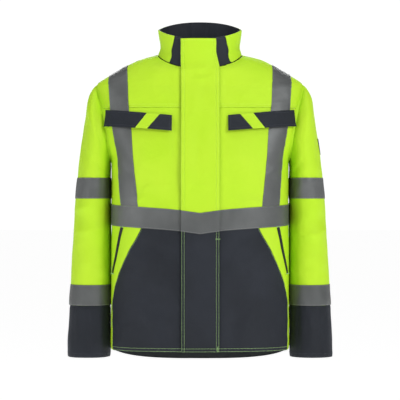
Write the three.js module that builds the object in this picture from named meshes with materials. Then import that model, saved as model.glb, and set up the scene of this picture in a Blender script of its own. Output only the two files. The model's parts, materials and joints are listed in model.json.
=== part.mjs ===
// Hi-vis work jacket, filled out as worn and with no wearer, in millimetres with +Z up.
// The front faces -Y. Left and right are the wearer's, so left is +X.
// The origin is in the middle of the neck opening, at the height of the neck seam's sides.
// Every piece of cloth is a closed wall made from one of three surfaces: the body, the collar
// and the sleeve. Each surface is lofted through rings, and what lies on it is moved outwards.

import * as THREE from 'three';

// Cloth and seams
const CLOTH = 2.2;
const SEAM_GAP = 0.3;
const HALF_GAP = SEAM_GAP / 2;
// Half the seam gap in turns: round the body at its corners, round the armhole, round the collar
const QUARTER_RING = 206;
const GAP_TURNS = HALF_GAP / QUARTER_RING;
const ARMHOLE_SEAM_TURNS = 0.003;
const COLLAR_SEAM_TURNS = 0.003;
const TAPE_WIDTH = 50;
const TAPE_FLOOR = 0.6;
const TAPE_TOP = 1.4;

// Heights of the main seams, at the side of the body
const HEM = -715;
const UNDERARM = -262;
const SHOULDER_TIP = -71;
const NECK = 0;
const COLLAR_TOP = 61;
const FRONT_YOKE_SEAM = -133;
const BACK_YOKE_SEAM = -128;
const CUFF_SEAM = -609;

// Waist seam and waist tape: level at the sides and the back, lower towards the centre front
const WAIST_SIDE = -387;
const WAIST_FLAP_EDGE = -403;
const WAIST_CENTRE = -409.5;
const WAIST_POWER = 0.8;
const WAIST_SIDE_OUT = 213;

// Storm flap, zip and the free front edges
const FRONT_EDGE = 6;
const FLAP_FREE_EDGE = -44.5;
const FLAP_SEWN_EDGE = 46;
const FLAP_COLLAR_SEWN_EDGE = 38;
const ZIP_WIDTH = 36;
const ZIP_FACE = -3.4;
const ZIP_BACK = -4.6;
const ZIP_END = 3;
const SLIDER_WIDTH = 9;
const SLIDER_FROM = 12;
const SLIDER_TO = 27;

const COLOURS = {
  yellow: { color: 0xc6ec1c, roughness: 0.75, metalness: 0 },
  navy: { color: 0x232b3b, roughness: 0.8, metalness: 0 },
  tape: { color: 0x7d8183, roughness: 0.5, metalness: 0.1 },
  zip: { color: 0x14181f, roughness: 0.6, metalness: 0 },
  metal: { color: 0x8d9094, roughness: 0.35, metalness: 0.9 },
};

function table(columns, rows) {
  return rows.map((row) => Object.fromEntries(columns.map((column, i) => [column, row[i]])));
}

// Rings of the body from hem to neck. side is the height at the ring's side, half its half width,
// front and back its depth from the middle line, square its corner exponent (2 is an oval), and
// the lifts say how far its centre front and centre back stand above its side.
const BODY_COLUMNS = ['side', 'half', 'front', 'back', 'middle', 'square', 'liftFront', 'liftBack'];
const BODY_RINGS = table(BODY_COLUMNS, [
  [-715, 216, 128, 128, -3, 3.0, 1, -37],
  [-560, 215, 131, 126, -3, 3.0, 0, -15],
  [-400, 214, 132, 120, -4, 3.0, 0, 0],
  [-300, 214.5, 134, 124, -3, 3.05, 0, 0],
  [-262, 216, 133, 126, -3, 3.1, 0, 0],
  [-215, 232, 126, 126, -2, 3.05, 0, 0],
  [-160, 246, 114, 121, -1, 2.9, 0, 0],
  [-110, 251, 102, 113, 0, 2.65, -2, 3],
  [-80, 252.5, 93, 106, 0, 2.45, -7, 7],
  [-71, 250, 90, 103, 0, 2.4, -9, 8],
  [-64, 242, 89, 101, 0, 2.36, -11, 9],
  [-42, 205, 87, 97, 0, 2.28, -20, 13],
  [-12, 149, 85, 92, 1, 2.2, -33, 19],
  [0, 103, 83, 88, 2, 2.15, -38, 22],
]);

// Rings of the collar, from the neck seam to its top edge
const COLLAR_RINGS = table(BODY_COLUMNS, [
  [0, 103, 83, 88, 2, 2.15, -38, 22],
  [18, 97, 80, 85, 2, 2.15, -36, 24],
  [40, 100, 81, 84, 2, 2.2, -32, 26],
  [61, 103.5, 83, 84, 2, 2.2, -28, 27.5],
]);

// The armhole is an egg on the body's side: reach is its half width in turns of a quarter ring,
// lean makes it wider below than above.
const ARMHOLE = { top: SHOULDER_TIP, bottom: UNDERARM, reach: 0.17, lean: 0.07 };
const ARMHOLE_MIDDLE = (ARMHOLE.top + ARMHOLE.bottom) / 2;
const ARMHOLE_HALF = (ARMHOLE.top - ARMHOLE.bottom) / 2;
const ARMHOLE_GAP = 0.3;
const ARMHOLE_GAP_TURNS = 0.0012;
const ARMHOLE_STEP_OUT = 0.4;

// Rings of a hanging sleeve after the armhole. along is the distance down the sleeve, out and in
// are the ring's outermost and innermost points, front and back its depth from the middle line.
const SLEEVE_COLUMNS = ['along', 'outX', 'outZ', 'inX', 'inZ', 'middle', 'front', 'back', 'square'];
const SLEEVE_RINGS = table(SLEEVE_COLUMNS, [
  [24, 270, -100, 217.6, -270, 0, 83, 85, 2.1],
  [58, 279.5, -152, 218, -284, 3, 87, 86, 2.1],
  [112, 291.5, -232, 218.2, -308, 6, 87, 86, 2.15],
  [204, 304, -350, 218, -378, 9, 80, 80, 2.2],
  [280, 309, -430, 217.5, -452, 10, 75, 75, 2.2],
  [350, 313.5, -505, 217.5, -520, 8, 69, 69, 2.2],
  [450, 318.4, -609, 218, -615, 3, 62, 62, 2.2],
  [525, 322.5, -690, 218.5, -690, -1, 56, 56, 2.2],
  [568, 323.5, -734, 218.5, -734, -3, 54, 54, 2.2],
]);
const SLEEVE_END = -734;

// Sleeve tapes, from the height of their lower edges up
const UPPER_SLEEVE_TAPE = -350.4;
const LOWER_SLEEVE_TAPE = -608.6;

// Shoulder tapes: distance from the centre front by height, for the middle of the tape
const SHOULDER_TAPE_LINE = table(['height', 'out'], [
  [-440, 163],
  [-363, 170],
  [-278, 178],
  [-235, 182.5],
  [-189, 186.5],
  [-139, 193],
  [-78, 197],
]);

const SHOULDER_TAPE = { rows: 18, overRows: 16, lowest: -440, overFrom: -78, endEase: 0.7 };
const SHOULDER_FROM = -125;

// The arch of the navy lower panels: from the waist seam out to the side
const ARCH_ROWS = 9;
const BACK_ARCH_TURN = 1.5;
const ARCH = { waistTurn: 0.515, waistOut: 128, sideOut: 212, top: -398, bottom: -615, power: 1.1 };

// Chest pocket flaps, seen from the front: the corners at the armhole and at the inner end, and
// where the slanted stripe crosses the upper and the lower edge
const FLAP_POCKET = {
  outer: 224,
  inner: 66.5,
  outerTop: -138.5,
  outerBottom: -178,
  innerTop: -153.4,
  innerBottom: -192,
  stripeTop: [126, 95],
  stripeBottom: [152, 124],
  floorTop: 2.3,
  floorBottom: 5.5,
};

// Slanted side pocket zips, seen from the front
const POCKET_ZIP = { topX: 186, topZ: -419, bottomX: 210, bottomZ: -530, width: 9, floor: 0.45, top: 1.9 };

// Bare patch on the outside of the left sleeve
const PATCH = { high: -205, low: -244, halfTurn: 0.2 };

// The largest soft folds. A fold runs from one point to another, in depth and half width.
// On the body, x and z are seen from the front or the back. On a sleeve, turn goes round it
// from the outside (0) over the front (1) to the inside (2) and the back (3).
const BODY_FOLDS = table(['face', 'x0', 'z0', 'x1', 'z1', 'depth', 'reach'], [
  ['front', -150, -300, -60, -352, 3, 46],
  ['front', 140, -310, 66, -350, 2.6, 42],
  ['front', -150, -520, -70, -640, 3, 50],
  ['front', 120, -500, 80, -660, 2.6, 50],
  ['back', -140, -250, 60, -330, 3, 52],
  ['back', 150, -520, 60, -620, 3, 55],
]);
const SLEEVE_FOLDS = table(['side', 'turn0', 'z0', 'turn1', 'z1', 'depth', 'reach'], [
  [1, 0.2, -392, 1.4, -412, 4, 30],
  [1, 0.7, -470, 1.7, -452, 3.5, 32],
  [1, 3.0, -420, 3.8, -398, 4, 34],
  [-1, 0.3, -402, 1.5, -388, 4, 30],
  [-1, 0.6, -462, 1.6, -478, 3.5, 32],
  [-1, 2.9, -404, 3.9, -428, 4, 34],
]);

const QUARTER = Math.PI / 2;
const LIFT_POWER = 1.5;
const SLEEVE_ROUND = 62;

// Smooth interpolation through a table, with no overshoot between its rows.
function steadySlope(before, after) {
  if (before * after <= 0) return 0;
  return (2 * before * after) / (before + after);
}

function slopeAt(rows, key, column, i) {
  const rise = (a, b) => (rows[b][column] - rows[a][column]) / (rows[b][key] - rows[a][key]);
  if (i === 0) return rise(0, 1);
  if (i === rows.length - 1) return rise(i - 1, i);
  return steadySlope(rise(i - 1, i), rise(i, i + 1));
}

function hermite(from, to, slopeFrom, slopeTo, span, t) {
  const t2 = t * t;
  const t3 = t2 * t;
  const start = (2 * t3 - 3 * t2 + 1) * from + (t3 - 2 * t2 + t) * span * slopeFrom;
  return start + (3 * t2 - 2 * t3) * to + (t3 - t2) * span * slopeTo;
}

function rowAt(rows, key, place) {
  let i = 0;
  while (i < rows.length - 2 && rows[i + 1][key] < place) i += 1;
  const span = rows[i + 1][key] - rows[i][key];
  const t = THREE.MathUtils.clamp((place - rows[i][key]) / span, 0, 1);
  const mixed = {};
  for (const column of Object.keys(rows[0])) {
    const slopes = [slopeAt(rows, key, column, i), slopeAt(rows, key, column, i + 1)];
    mixed[column] = hermite(rows[i][column], rows[i + 1][column], slopes[0], slopes[1], span, t);
  }
  return mixed;
}

// A soft trough: its depth at a distance from its line, fading towards both ends.
function troughDepth(fold, along, away) {
  if (along <= 0 || along >= 1 || away >= fold.reach) return 0;
  const across = Math.cos((away / fold.reach) * QUARTER) ** 2;
  return fold.depth * across * Math.sin(along * Math.PI);
}

function foldDepth(fold, a, b, a0, b0, a1, b1) {
  const length = Math.hypot(a1 - a0, b1 - b0);
  const along = ((a - a0) * (a1 - a0) + (b - b0) * (b1 - b0)) / length ** 2;
  const away = Math.abs((a - a0) * (b1 - b0) - (b - b0) * (a1 - a0)) / length;
  return troughDepth(fold, along, away);
}

// A point on a ring. turn counts quarter rings: 0 centre front, 1 left side, 2 centre back.
function ringPoint(ring, turn) {
  const s = Math.sin(turn * QUARTER);
  const c = Math.cos(turn * QUARTER);
  const depth = c > 0 ? ring.front : ring.back;
  const size = Math.abs(s / ring.half) ** ring.square + Math.abs(c / depth) ** ring.square;
  const reach = size ** (-1 / ring.square);
  const share = (reach * Math.abs(c)) / depth;
  const lift = (c > 0 ? ring.liftFront : ring.liftBack) * share ** LIFT_POWER;
  return new THREE.Vector3(reach * s, ring.middle - reach * c, ring.side + lift);
}

function bodyPoint(turn, height) {
  const place = THREE.MathUtils.clamp(height, HEM, NECK);
  const point = ringPoint(rowAt(BODY_RINGS, 'side', place), turn);
  const face = Math.cos(turn * QUARTER) > 0 ? 'front' : 'back';
  let depth = 0;
  for (const fold of BODY_FOLDS) {
    if (fold.face !== face) continue;
    depth += foldDepth(fold, point.x, point.z, fold.x0, fold.z0, fold.x1, fold.z1);
  }
  point.y += face === 'front' ? depth : -depth;
  return point;
}

function collarPoint(turn, height) {
  const place = THREE.MathUtils.clamp(height, NECK, COLLAR_TOP);
  return ringPoint(rowAt(COLLAR_RINGS, 'side', place), turn);
}

// The armhole's edge on the body, round it from the shoulder tip (0) over the front (1).
function armholeSpot(side, round, grown) {
  const s = Math.sin(round * QUARTER);
  const c = Math.cos(round * QUARTER);
  const reach = ARMHOLE.reach - ARMHOLE.lean * c + (grown ? ARMHOLE_GAP_TURNS : 0);
  const half = ARMHOLE_HALF + (grown ? ARMHOLE_GAP : 0);
  return { turn: side * (1 - reach * s), height: ARMHOLE_MIDDLE + half * c };
}

function sleeveRingPoint(side, ring, round) {
  const s = Math.sin(round * QUARTER);
  const c = Math.cos(round * QUARTER);
  const reach = (Math.abs(c) ** ring.square + Math.abs(s) ** ring.square) ** (-1 / ring.square);
  const depth = s > 0 ? ring.front : ring.back;
  const x = (ring.outX + ring.inX) / 2 + ((ring.outX - ring.inX) / 2) * c * reach;
  const z = (ring.outZ + ring.inZ) / 2 + ((ring.outZ - ring.inZ) / 2) * c * reach;
  return new THREE.Vector3(side * x, ring.middle - depth * s * reach, z);
}

function armholeStart(side, round) {
  const spot = armholeSpot(side, round, false);
  const point = bodyPoint(spot.turn, spot.height);
  point.x += side * ARMHOLE_STEP_OUT;
  return point;
}

// The points of one line down the sleeve, and the slopes that make it run smoothly through them.
const sleeveLines = new Map();

function sleeveLine(side, round) {
  const name = `${side} ${round.toFixed(5)}`;
  if (sleeveLines.has(name)) return sleeveLines.get(name);
  const places = [0, ...SLEEVE_RINGS.map((ring) => ring.along)];
  const points = [armholeStart(side, round)];
  for (const ring of SLEEVE_RINGS) points.push(sleeveRingPoint(side, ring, round));
  const slope = (a, b) => points[b].clone().sub(points[a]).divideScalar(places[b] - places[a]);
  const last = points.length - 1;
  const slopes = points.map((_, i) => slope(Math.max(i - 1, 0), Math.min(i + 1, last)));
  slopes[0] = slope(0, 1).multiplyScalar(2).sub(slopes[1]);
  const line = { places, points, slopes };
  sleeveLines.set(name, line);
  return line;
}

function smoothSleevePoint(side, round, along) {
  const { places, points, slopes } = sleeveLine(side, round);
  let i = 0;
  while (i < places.length - 2 && places[i + 1] < along) i += 1;
  const span = places[i + 1] - places[i];
  const t = THREE.MathUtils.clamp((along - places[i]) / span, 0, 1);
  const mix = (axis) => hermite(
    points[i][axis], points[i + 1][axis], slopes[i][axis], slopes[i + 1][axis], span, t,
  );
  return new THREE.Vector3(mix('x'), mix('y'), mix('z'));
}

function sleevePoint(side, round, along) {
  const point = smoothSleevePoint(side, round, along);
  const turn = ((round % 4) + 4) % 4;
  let depth = 0;
  for (const fold of SLEEVE_FOLDS) {
    if (fold.side !== side) continue;
    const start = fold.turn0 * SLEEVE_ROUND * QUARTER;
    const end = fold.turn1 * SLEEVE_ROUND * QUARTER;
    depth += foldDepth(fold, turn * SLEEVE_ROUND * QUARTER, point.z, start, fold.z0, end, fold.z1);
  }
  if (depth === 0) return point;
  const inwards = smoothSleevePoint(side, round + 2, along).sub(point).setZ(0).normalize();
  return point.addScaledVector(inwards, depth);
}

// How far down the sleeve a line reaches a height.
function sleevePlace(side, round, height) {
  let low = 0;
  let high = SLEEVE_RINGS[SLEEVE_RINGS.length - 1].along;
  for (let i = 0; i < 30; i += 1) {
    const middle = (low + high) / 2;
    if (smoothSleevePoint(side, round, middle).z > height) low = middle;
    else high = middle;
  }
  return (low + high) / 2;
}

// Surfaces that a piece can be made on: a point from two coordinates, and a step for its normal.
const BODY = { point: bodyPoint, steps: [0.004, 0.6], limits: [HEM, NECK], sign: 1 };
const COLLAR = { point: collarPoint, steps: [0.004, 0.6], limits: [NECK, COLLAR_TOP], sign: 1 };

function sleeveSurface(side) {
  const end = SLEEVE_RINGS[SLEEVE_RINGS.length - 1].along;
  const point = (round, along) => sleevePoint(side, round, along);
  return { point, steps: [0.01, 0.8], limits: [0, end], sign: side };
}

function normalOn(surface, a, b) {
  const [stepA, stepB] = surface.steps;
  const low = Math.max(b - stepB, surface.limits[0]);
  const high = Math.min(b + stepB, surface.limits[1]);
  const alongA = surface.point(a + stepA, b).sub(surface.point(a - stepA, b));
  const alongB = surface.point(a, high).sub(surface.point(a, low));
  return alongA.cross(alongB).normalize().multiplyScalar(surface.sign);
}

function raised(surface, a, b, out) {
  return surface.point(a, b).addScaledVector(normalOn(surface, a, b), out);
}

// Where a point seen from the front (or the back) at x and z lies on the body.
function bodySpot(x, z, face = 'front') {
  const front = face === 'front';
  let height = z;
  let turn = 0;
  for (let i = 0; i < 8; i += 1) {
    const ring = rowAt(BODY_RINGS, 'side', THREE.MathUtils.clamp(height, HEM, NECK));
    const part = Math.min(Math.abs(x) / ring.half, 1);
    const share = (1 - part ** ring.square) ** (1 / ring.square);
    const depth = share * (front ? ring.front : ring.back);
    turn = Math.atan2(Math.abs(x), front ? depth : -depth) / QUARTER;
    height = z - (front ? ring.liftFront : ring.liftBack) * share ** LIFT_POWER;
  }
  return { turn: x < 0 ? -turn : turn, height };
}

function collarSpot(x, z) {
  let height = z;
  let turn = 0;
  for (let i = 0; i < 8; i += 1) {
    const ring = rowAt(COLLAR_RINGS, 'side', THREE.MathUtils.clamp(height, NECK, COLLAR_TOP));
    const part = Math.abs(x) / ring.half;
    const share = (1 - part ** ring.square) ** (1 / ring.square);
    turn = Math.atan2(Math.abs(x), share * ring.front) / QUARTER;
    height = z - ring.liftFront * share ** LIFT_POWER;
  }
  return { turn: x < 0 ? -turn : turn, height };
}

// A closed wall from a grid of outer points and a grid of inner points, row by row.
// A round wall joins its last column to its first.
function wallGeometry(outer, inner, round = false) {
  const rows = outer.length;
  const columns = outer[0].length;
  const positions = [];
  const index = [];
  for (const grid of [outer, inner]) {
    for (const row of grid) {
      for (const point of row) positions.push(point.x, point.y, point.z);
    }
  }
  const at = (layer, row, column) => layer * rows * columns + row * columns + (column % columns);
  const quad = (a, b, c, d) => index.push(a, b, c, a, c, d);
  const lastColumn = round ? columns : columns - 1;
  for (let row = 0; row < rows - 1; row += 1) {
    for (let column = 0; column < lastColumn; column += 1) {
      const next = column + 1;
      quad(at(0, row, column), at(0, row, next), at(0, row + 1, next), at(0, row + 1, column));
      quad(at(1, row, column), at(1, row + 1, column), at(1, row + 1, next), at(1, row, next));
    }
  }
  for (let column = 0; column < lastColumn; column += 1) {
    const next = column + 1;
    quad(at(0, 0, next), at(0, 0, column), at(1, 0, column), at(1, 0, next));
    const top = rows - 1;
    quad(at(0, top, column), at(0, top, next), at(1, top, next), at(1, top, column));
  }
  if (!round) {
    const end = columns - 1;
    for (let row = 0; row < rows - 1; row += 1) {
      quad(at(0, row, 0), at(0, row + 1, 0), at(1, row + 1, 0), at(1, row, 0));
      quad(at(0, row + 1, end), at(0, row, end), at(1, row, end), at(1, row + 1, end));
    }
  }
  const geometry = new THREE.BufferGeometry();
  geometry.setAttribute('position', new THREE.Float32BufferAttribute(positions, 3));
  geometry.setIndex(index);
  return geometry;
}

// Turns every triangle over where the wall came out with its faces pointing in.
function facingOut(geometry) {
  const position = geometry.getAttribute('position');
  const index = geometry.getIndex();
  const corner = (i) => new THREE.Vector3().fromBufferAttribute(position, index.getX(i));
  let volume = 0;
  for (let i = 0; i < index.count; i += 3) volume += corner(i).dot(corner(i + 1).cross(corner(i + 2)));
  if (volume < 0) {
    for (let i = 0; i < index.count; i += 3) {
      const held = index.getX(i);
      index.setX(i, index.getX(i + 1));
      index.setX(i + 1, held);
    }
  }
  geometry.computeVertexNormals();
  return geometry;
}

const jacket = new THREE.Group();

function add(name, geometry, finish) {
  const mesh = new THREE.Mesh(facingOut(geometry), new THREE.MeshStandardMaterial(COLOURS[finish]));
  mesh.name = name;
  jacket.add(mesh);
}

// A piece of a surface: every row runs straight, in the surface's own coordinates, from a spot on
// its left edge to the spot on its right edge.
function panelSpots(leftEdge, rightEdge, columns) {
  return leftEdge.map((left, row) => {
    const right = rightEdge[row];
    const spots = [];
    for (let column = 0; column <= columns; column += 1) {
      const t = column / columns;
      const turn = THREE.MathUtils.lerp(left.turn, right.turn, t);
      spots.push({ turn, height: THREE.MathUtils.lerp(left.height, right.height, t) });
    }
    return spots;
  });
}

function layer(surface, spots, out) {
  const height = (spot) => (typeof out === 'function' ? out(spot) : out);
  return spots.map((row) => row.map((spot) => raised(surface, spot.turn, spot.height, height(spot))));
}

function panel(name, finish, surface, spots, outer = 0, inner = -CLOTH) {
  const grids = [layer(surface, spots, outer), layer(surface, spots, inner)];
  add(name, wallGeometry(grids[0], grids[1]), finish);
}

// Edges, as lists of spots from below to above
function span(from, to, steps) {
  return Array.from({ length: steps + 1 }, (_, i) => THREE.MathUtils.lerp(from, to, i / steps));
}

function turnAtX(x, height) {
  return bodySpot(x, bodyPoint(0, height).z, 'front').turn;
}

function waistLine(x) {
  const out = Math.abs(x);
  if (out > FLAP_SEWN_EDGE) {
    const share = (out - FLAP_SEWN_EDGE) / (WAIST_SIDE_OUT - FLAP_SEWN_EDGE);
    return THREE.MathUtils.lerp(WAIST_FLAP_EDGE, WAIST_SIDE, Math.min(share, 1));
  }
  return THREE.MathUtils.lerp(WAIST_CENTRE, WAIST_FLAP_EDGE, out / FLAP_SEWN_EDGE);
}

function archOut(height) {
  const share = THREE.MathUtils.clamp((ARCH.top - height) / (ARCH.top - ARCH.bottom), 0, 1);
  const rise = Math.sin(share * QUARTER) ** ARCH.power;
  return THREE.MathUtils.lerp(ARCH.waistOut, ARCH.sideOut, rise);
}

// Height of the waist seam round the body
function waistHeight(turn) {
  const round = Math.abs(turn) > 2 ? 4 - Math.abs(turn) : Math.abs(turn);
  return THREE.MathUtils.lerp(WAIST_CENTRE, WAIST_SIDE, Math.min(round, 1) ** WAIST_POWER);
}

// A row of a panel that follows the waist seam, just above or below it
function alongWaist(row, drop) {
  return row.map(({ turn }) => ({ turn, height: waistHeight(turn) + drop }));
}

const mirrored = (spots) => spots.map(({ turn, height }) => ({ turn: 4 - turn, height }));

// Where the arch of a lower panel runs, by share of its way from the hem to the waist seam
function archSpots(face) {
  const top = face === 'front' ? ARCH.top : WAIST_SIDE;
  return span(0, 1, ARCH_ROWS).map((share) => {
    const height = THREE.MathUtils.lerp(HEM, top, share);
    const waistTurn = face === 'front' ? ARCH.waistTurn : BACK_ARCH_TURN;
    const z = face === 'front' ? height : bodyPoint(2, height).z;
    const turn = share === 1 ? waistTurn : bodySpot(archOut(height), z, face).turn;
    return { turn, height };
  });
}

const shifted = (spots, by) => spots.map(({ turn, height }) => ({ turn: turn + by, height }));

function frontPanels(side, word) {
  const seamRound = Math.acos((FRONT_YOKE_SEAM - ARMHOLE_MIDDLE) / ARMHOLE_HALF) / QUARTER;
  const edgeTurn = (height) => Math.abs(turnAtX(FRONT_EDGE, height));
  const inner = (height) => ({ turn: edgeTurn(height), height });
  const sided = (rows) => rows.map((row) => row.map((spot) => ({ ...spot, turn: side * spot.turn })));

  const chestRight = span(WAIST_SIDE, UNDERARM - ARMHOLE_GAP, 5)
    .map((height) => ({ turn: 1 - GAP_TURNS, height }));
  for (const round of span(2, seamRound + ARMHOLE_SEAM_TURNS, 7).slice(1)) {
    chestRight.push(armholeSpot(1, round, true));
  }
  const chestLeft = span(WAIST_CENTRE, UNDERARM, 5)
    .concat(span(UNDERARM, FRONT_YOKE_SEAM - HALF_GAP, 7).slice(1))
    .map(inner);
  const chest = panelSpots(chestLeft, chestRight, 10);
  chest[0] = alongWaist(chest[0], HALF_GAP);
  panel(`front_chest_${word}`, 'yellow', BODY, sided(chest));

  const yokeRight = span(seamRound - ARMHOLE_SEAM_TURNS, 0, 4)
    .map((round) => armholeSpot(1, round, true));
  yokeRight[4].turn = 1 - GAP_TURNS;
  for (const height of span(SHOULDER_TIP, NECK - SEAM_GAP, 5).slice(1)) {
    yokeRight.push({ turn: 1 - GAP_TURNS, height });
  }
  const yokeLeft = span(FRONT_YOKE_SEAM + HALF_GAP, SHOULDER_TIP, 4)
    .concat(span(SHOULDER_TIP, NECK - SEAM_GAP, 5).slice(1))
    .map(inner);
  panel(`front_yoke_${word}`, 'yellow', BODY, sided(panelSpots(yokeLeft, yokeRight, 10)));

  const lowerLeft = span(HEM, WAIST_CENTRE, ARCH_ROWS).map(inner);
  const lowerRight = shifted(archSpots('front'), -GAP_TURNS);
  const lower = panelSpots(lowerLeft, lowerRight, 10);
  lower[ARCH_ROWS] = alongWaist(lower[ARCH_ROWS], -HALF_GAP);
  panel(`front_lower_${word}`, 'navy', BODY, sided(lower));
}

// The side panel reaches from arch to arch, with a column of points at the very side
function sidePanel(side, word) {
  const front = shifted(archSpots('front'), GAP_TURNS);
  const back = shifted(archSpots('back'), -GAP_TURNS);
  const middle = front.map((spot, row) => ({ turn: 1, height: (spot.height + back[row].height) / 2 }));
  middle[ARCH_ROWS].height = WAIST_SIDE;
  const halves = [panelSpots(front, middle, 5), panelSpots(middle, back, 5)];
  const spots = halves[0].map((row, i) => row.concat(halves[1][i].slice(1)));
  spots[ARCH_ROWS] = alongWaist(spots[ARCH_ROWS], -HALF_GAP);
  const sided = spots.map((row) => row.map((spot) => ({ ...spot, turn: side * spot.turn })));
  panel(`side_${word}`, 'yellow', BODY, sided);
}

function backPanels() {
  const seamRound = 4 - Math.acos((BACK_YOKE_SEAM - ARMHOLE_MIDDLE) / ARMHOLE_HALF) / QUARTER;

  const upper = span(WAIST_SIDE + HALF_GAP, UNDERARM - ARMHOLE_GAP, 4)
    .map((height) => ({ turn: 1 + GAP_TURNS, height }));
  for (const round of span(2, seamRound - ARMHOLE_SEAM_TURNS, 7).slice(1)) {
    upper.push(armholeSpot(1, round, true));
  }
  panel('back_upper', 'yellow', BODY, panelSpots(upper, mirrored(upper), 20));

  const yoke = span(seamRound + ARMHOLE_SEAM_TURNS, 4, 4)
    .map((round) => armholeSpot(1, round, true));
  yoke[4].turn = 1 + GAP_TURNS;
  for (const height of span(SHOULDER_TIP, NECK - SEAM_GAP, 5).slice(1)) {
    yoke.push({ turn: 1 + GAP_TURNS, height });
  }
  panel('back_yoke', 'yellow', BODY, panelSpots(yoke, mirrored(yoke), 26));

  const arch = shifted(archSpots('back'), GAP_TURNS);
  const lower = panelSpots(arch, mirrored(arch), 18);
  lower[ARCH_ROWS] = alongWaist(lower[ARCH_ROWS], -HALF_GAP);
  panel('back_lower', 'navy', BODY, lower);
}

// Collar: navy inserts at the front, yellow all round behind them, navy inside
const INSERT = { seamOut: 75, topOut: 61 };

function collarTurn(x, height) {
  return Math.abs(collarSpot(x, collarPoint(0, height).z).turn);
}

function collarPieces() {
  const heights = span(NECK + SEAM_GAP, COLLAR_TOP, 3);
  const edge = (bottomX, topX, shift) => heights.map((height) => {
    const x = THREE.MathUtils.lerp(bottomX, topX, height / COLLAR_TOP);
    return { turn: collarTurn(x, height) + shift, height };
  });
  const flipped = (spots) => spots.map(({ turn, height }) => ({ turn: -turn, height }));
  const across = (spots) => spots.map(({ turn, height }) => ({ turn: 4 - turn, height }));
  const frontEdge = edge(FRONT_EDGE, FRONT_EDGE, 0);
  const insertEdge = edge(INSERT.seamOut, INSERT.topOut, -COLLAR_SEAM_TURNS);
  panel('collar_insert_left', 'navy', COLLAR, panelSpots(frontEdge, insertEdge, 4));
  panel('collar_insert_right', 'navy', COLLAR, panelSpots(flipped(frontEdge), flipped(insertEdge), 4));
  const outerEdge = edge(INSERT.seamOut, INSERT.topOut, COLLAR_SEAM_TURNS);
  panel('collar_outer', 'yellow', COLLAR, panelSpots(outerEdge, across(outerEdge), 24));
  const left = panelSpots(frontEdge, insertEdge, 4);
  const behind = panelSpots(outerEdge, across(outerEdge), 24);
  const innerSpots = left.map((row, i) => {
    const start = row.slice(1, -1);
    return [...start, ...behind[i], ...across(start).reverse()];
  });
  panel('collar_inner', 'navy', COLLAR, innerSpots, -CLOTH - SEAM_GAP, -2 * CLOTH - SEAM_GAP);
}

// A strip that crosses the neck seam at the front: rows on the body, then rows on the collar
function frontStrip(leftX, rightX, columns, bodyRows, collarRows, outer, inner) {
  const grids = [[], []];
  const place = (surface, spotOf, z, leftEnd, rightEnd) => {
    const rows = [[], []];
    for (let column = 0; column <= columns; column += 1) {
      const share = column / columns;
      const x = THREE.MathUtils.lerp(leftEnd, rightEnd, share);
      const spot = spotOf(x, typeof z === 'function' ? z(x) : z);
      rows[0].push(raised(surface, spot.turn, spot.height, outer(share)));
      rows[1].push(raised(surface, spot.turn, spot.height, inner(share)));
    }
    grids[0].push(rows[0]);
    grids[1].push(rows[1]);
  };
  for (const z of bodyRows) place(BODY, bodySpot, z, leftX, rightX(0));
  collarRows.forEach((z, i) => place(COLLAR, collarSpot, z, leftX, rightX((i + 1) / collarRows.length)));
  return wallGeometry(grids[0], grids[1]);
}

// Storm flap: sewn on the left of the zip, its free edge on the right stands off a little
const FLAP_FLOOR = 1.9;
const FLAP_STAND_OFF = 1.8;
// Rows of the flap that run level start here, above and below the slanted waist seam
const FLAP_LEVEL_ABOVE = -385;
const FLAP_LEVEL_BELOW = -432;
// Rows of a front strip stay this far from the neck seam, where it bends
const NECK_CLEAR = 8;

function flapFloor(share) {
  return FLAP_FLOOR + FLAP_STAND_OFF * (1 - share) ** 3;
}

function stormFlap() {
  const outer = (share) => flapFloor(share) + CLOTH;
  const sewn = (up) => THREE.MathUtils.lerp(FLAP_SEWN_EDGE, FLAP_COLLAR_SEWN_EDGE, Math.min(up * 2, 1));
  const neckFront = bodyPoint(0, NECK).z;
  const collarFront = collarPoint(0, COLLAR_TOP).z;
  const upperRows = [(x) => waistLine(x) + HALF_GAP];
  for (const z of span(FLAP_LEVEL_ABOVE, neckFront - NECK_CLEAR, 15)) upperRows.push(z);
  const collarRows = span(neckFront + NECK_CLEAR, collarFront, 4);
  const flap = (bodyRows, rows) => (
    frontStrip(FLAP_FREE_EDGE, sewn, 4, bodyRows, rows, outer, flapFloor)
  );
  add('storm_flap_upper', flap(upperRows, collarRows), 'yellow');
  const hem = bodyPoint(0, HEM).z;
  const lowerRows = span(hem, FLAP_LEVEL_BELOW, 9);
  lowerRows.push((x) => waistLine(x) - HALF_GAP);
  add('storm_flap_lower', flap(lowerRows, []), 'navy');
}

function frontZip() {
  const half = ZIP_WIDTH / 2;
  const neckFront = bodyPoint(0, NECK).z;
  const collarFront = collarPoint(0, COLLAR_TOP).z;
  const face = () => ZIP_FACE;
  const back = () => ZIP_BACK;
  const bodyRows = span(bodyPoint(0, HEM).z + ZIP_END, neckFront - NECK_CLEAR, 22);
  const collarRows = span(neckFront + NECK_CLEAR, collarFront - ZIP_END, 3);
  add('front_zip', frontStrip(-half, () => half, 2, bodyRows, collarRows, face, back), 'zip');
  const sliderHalf = SLIDER_WIDTH / 2;
  const sliderRows = span(SLIDER_FROM, SLIDER_TO, 2);
  const top = () => FLAP_FLOOR - SEAM_GAP;
  const floor = () => ZIP_FACE + SEAM_GAP;
  const slider = frontStrip(-sliderHalf, () => sliderHalf, 2, [], sliderRows, top, floor);
  add('front_zip_slider', slider, 'metal');
}

// Small steps that measure a direction along a path, by turn and by height
const PATH_STEP = 0.002;
const TURN_STEP = 0.002;
const HEIGHT_STEP = 0.4;

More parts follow.
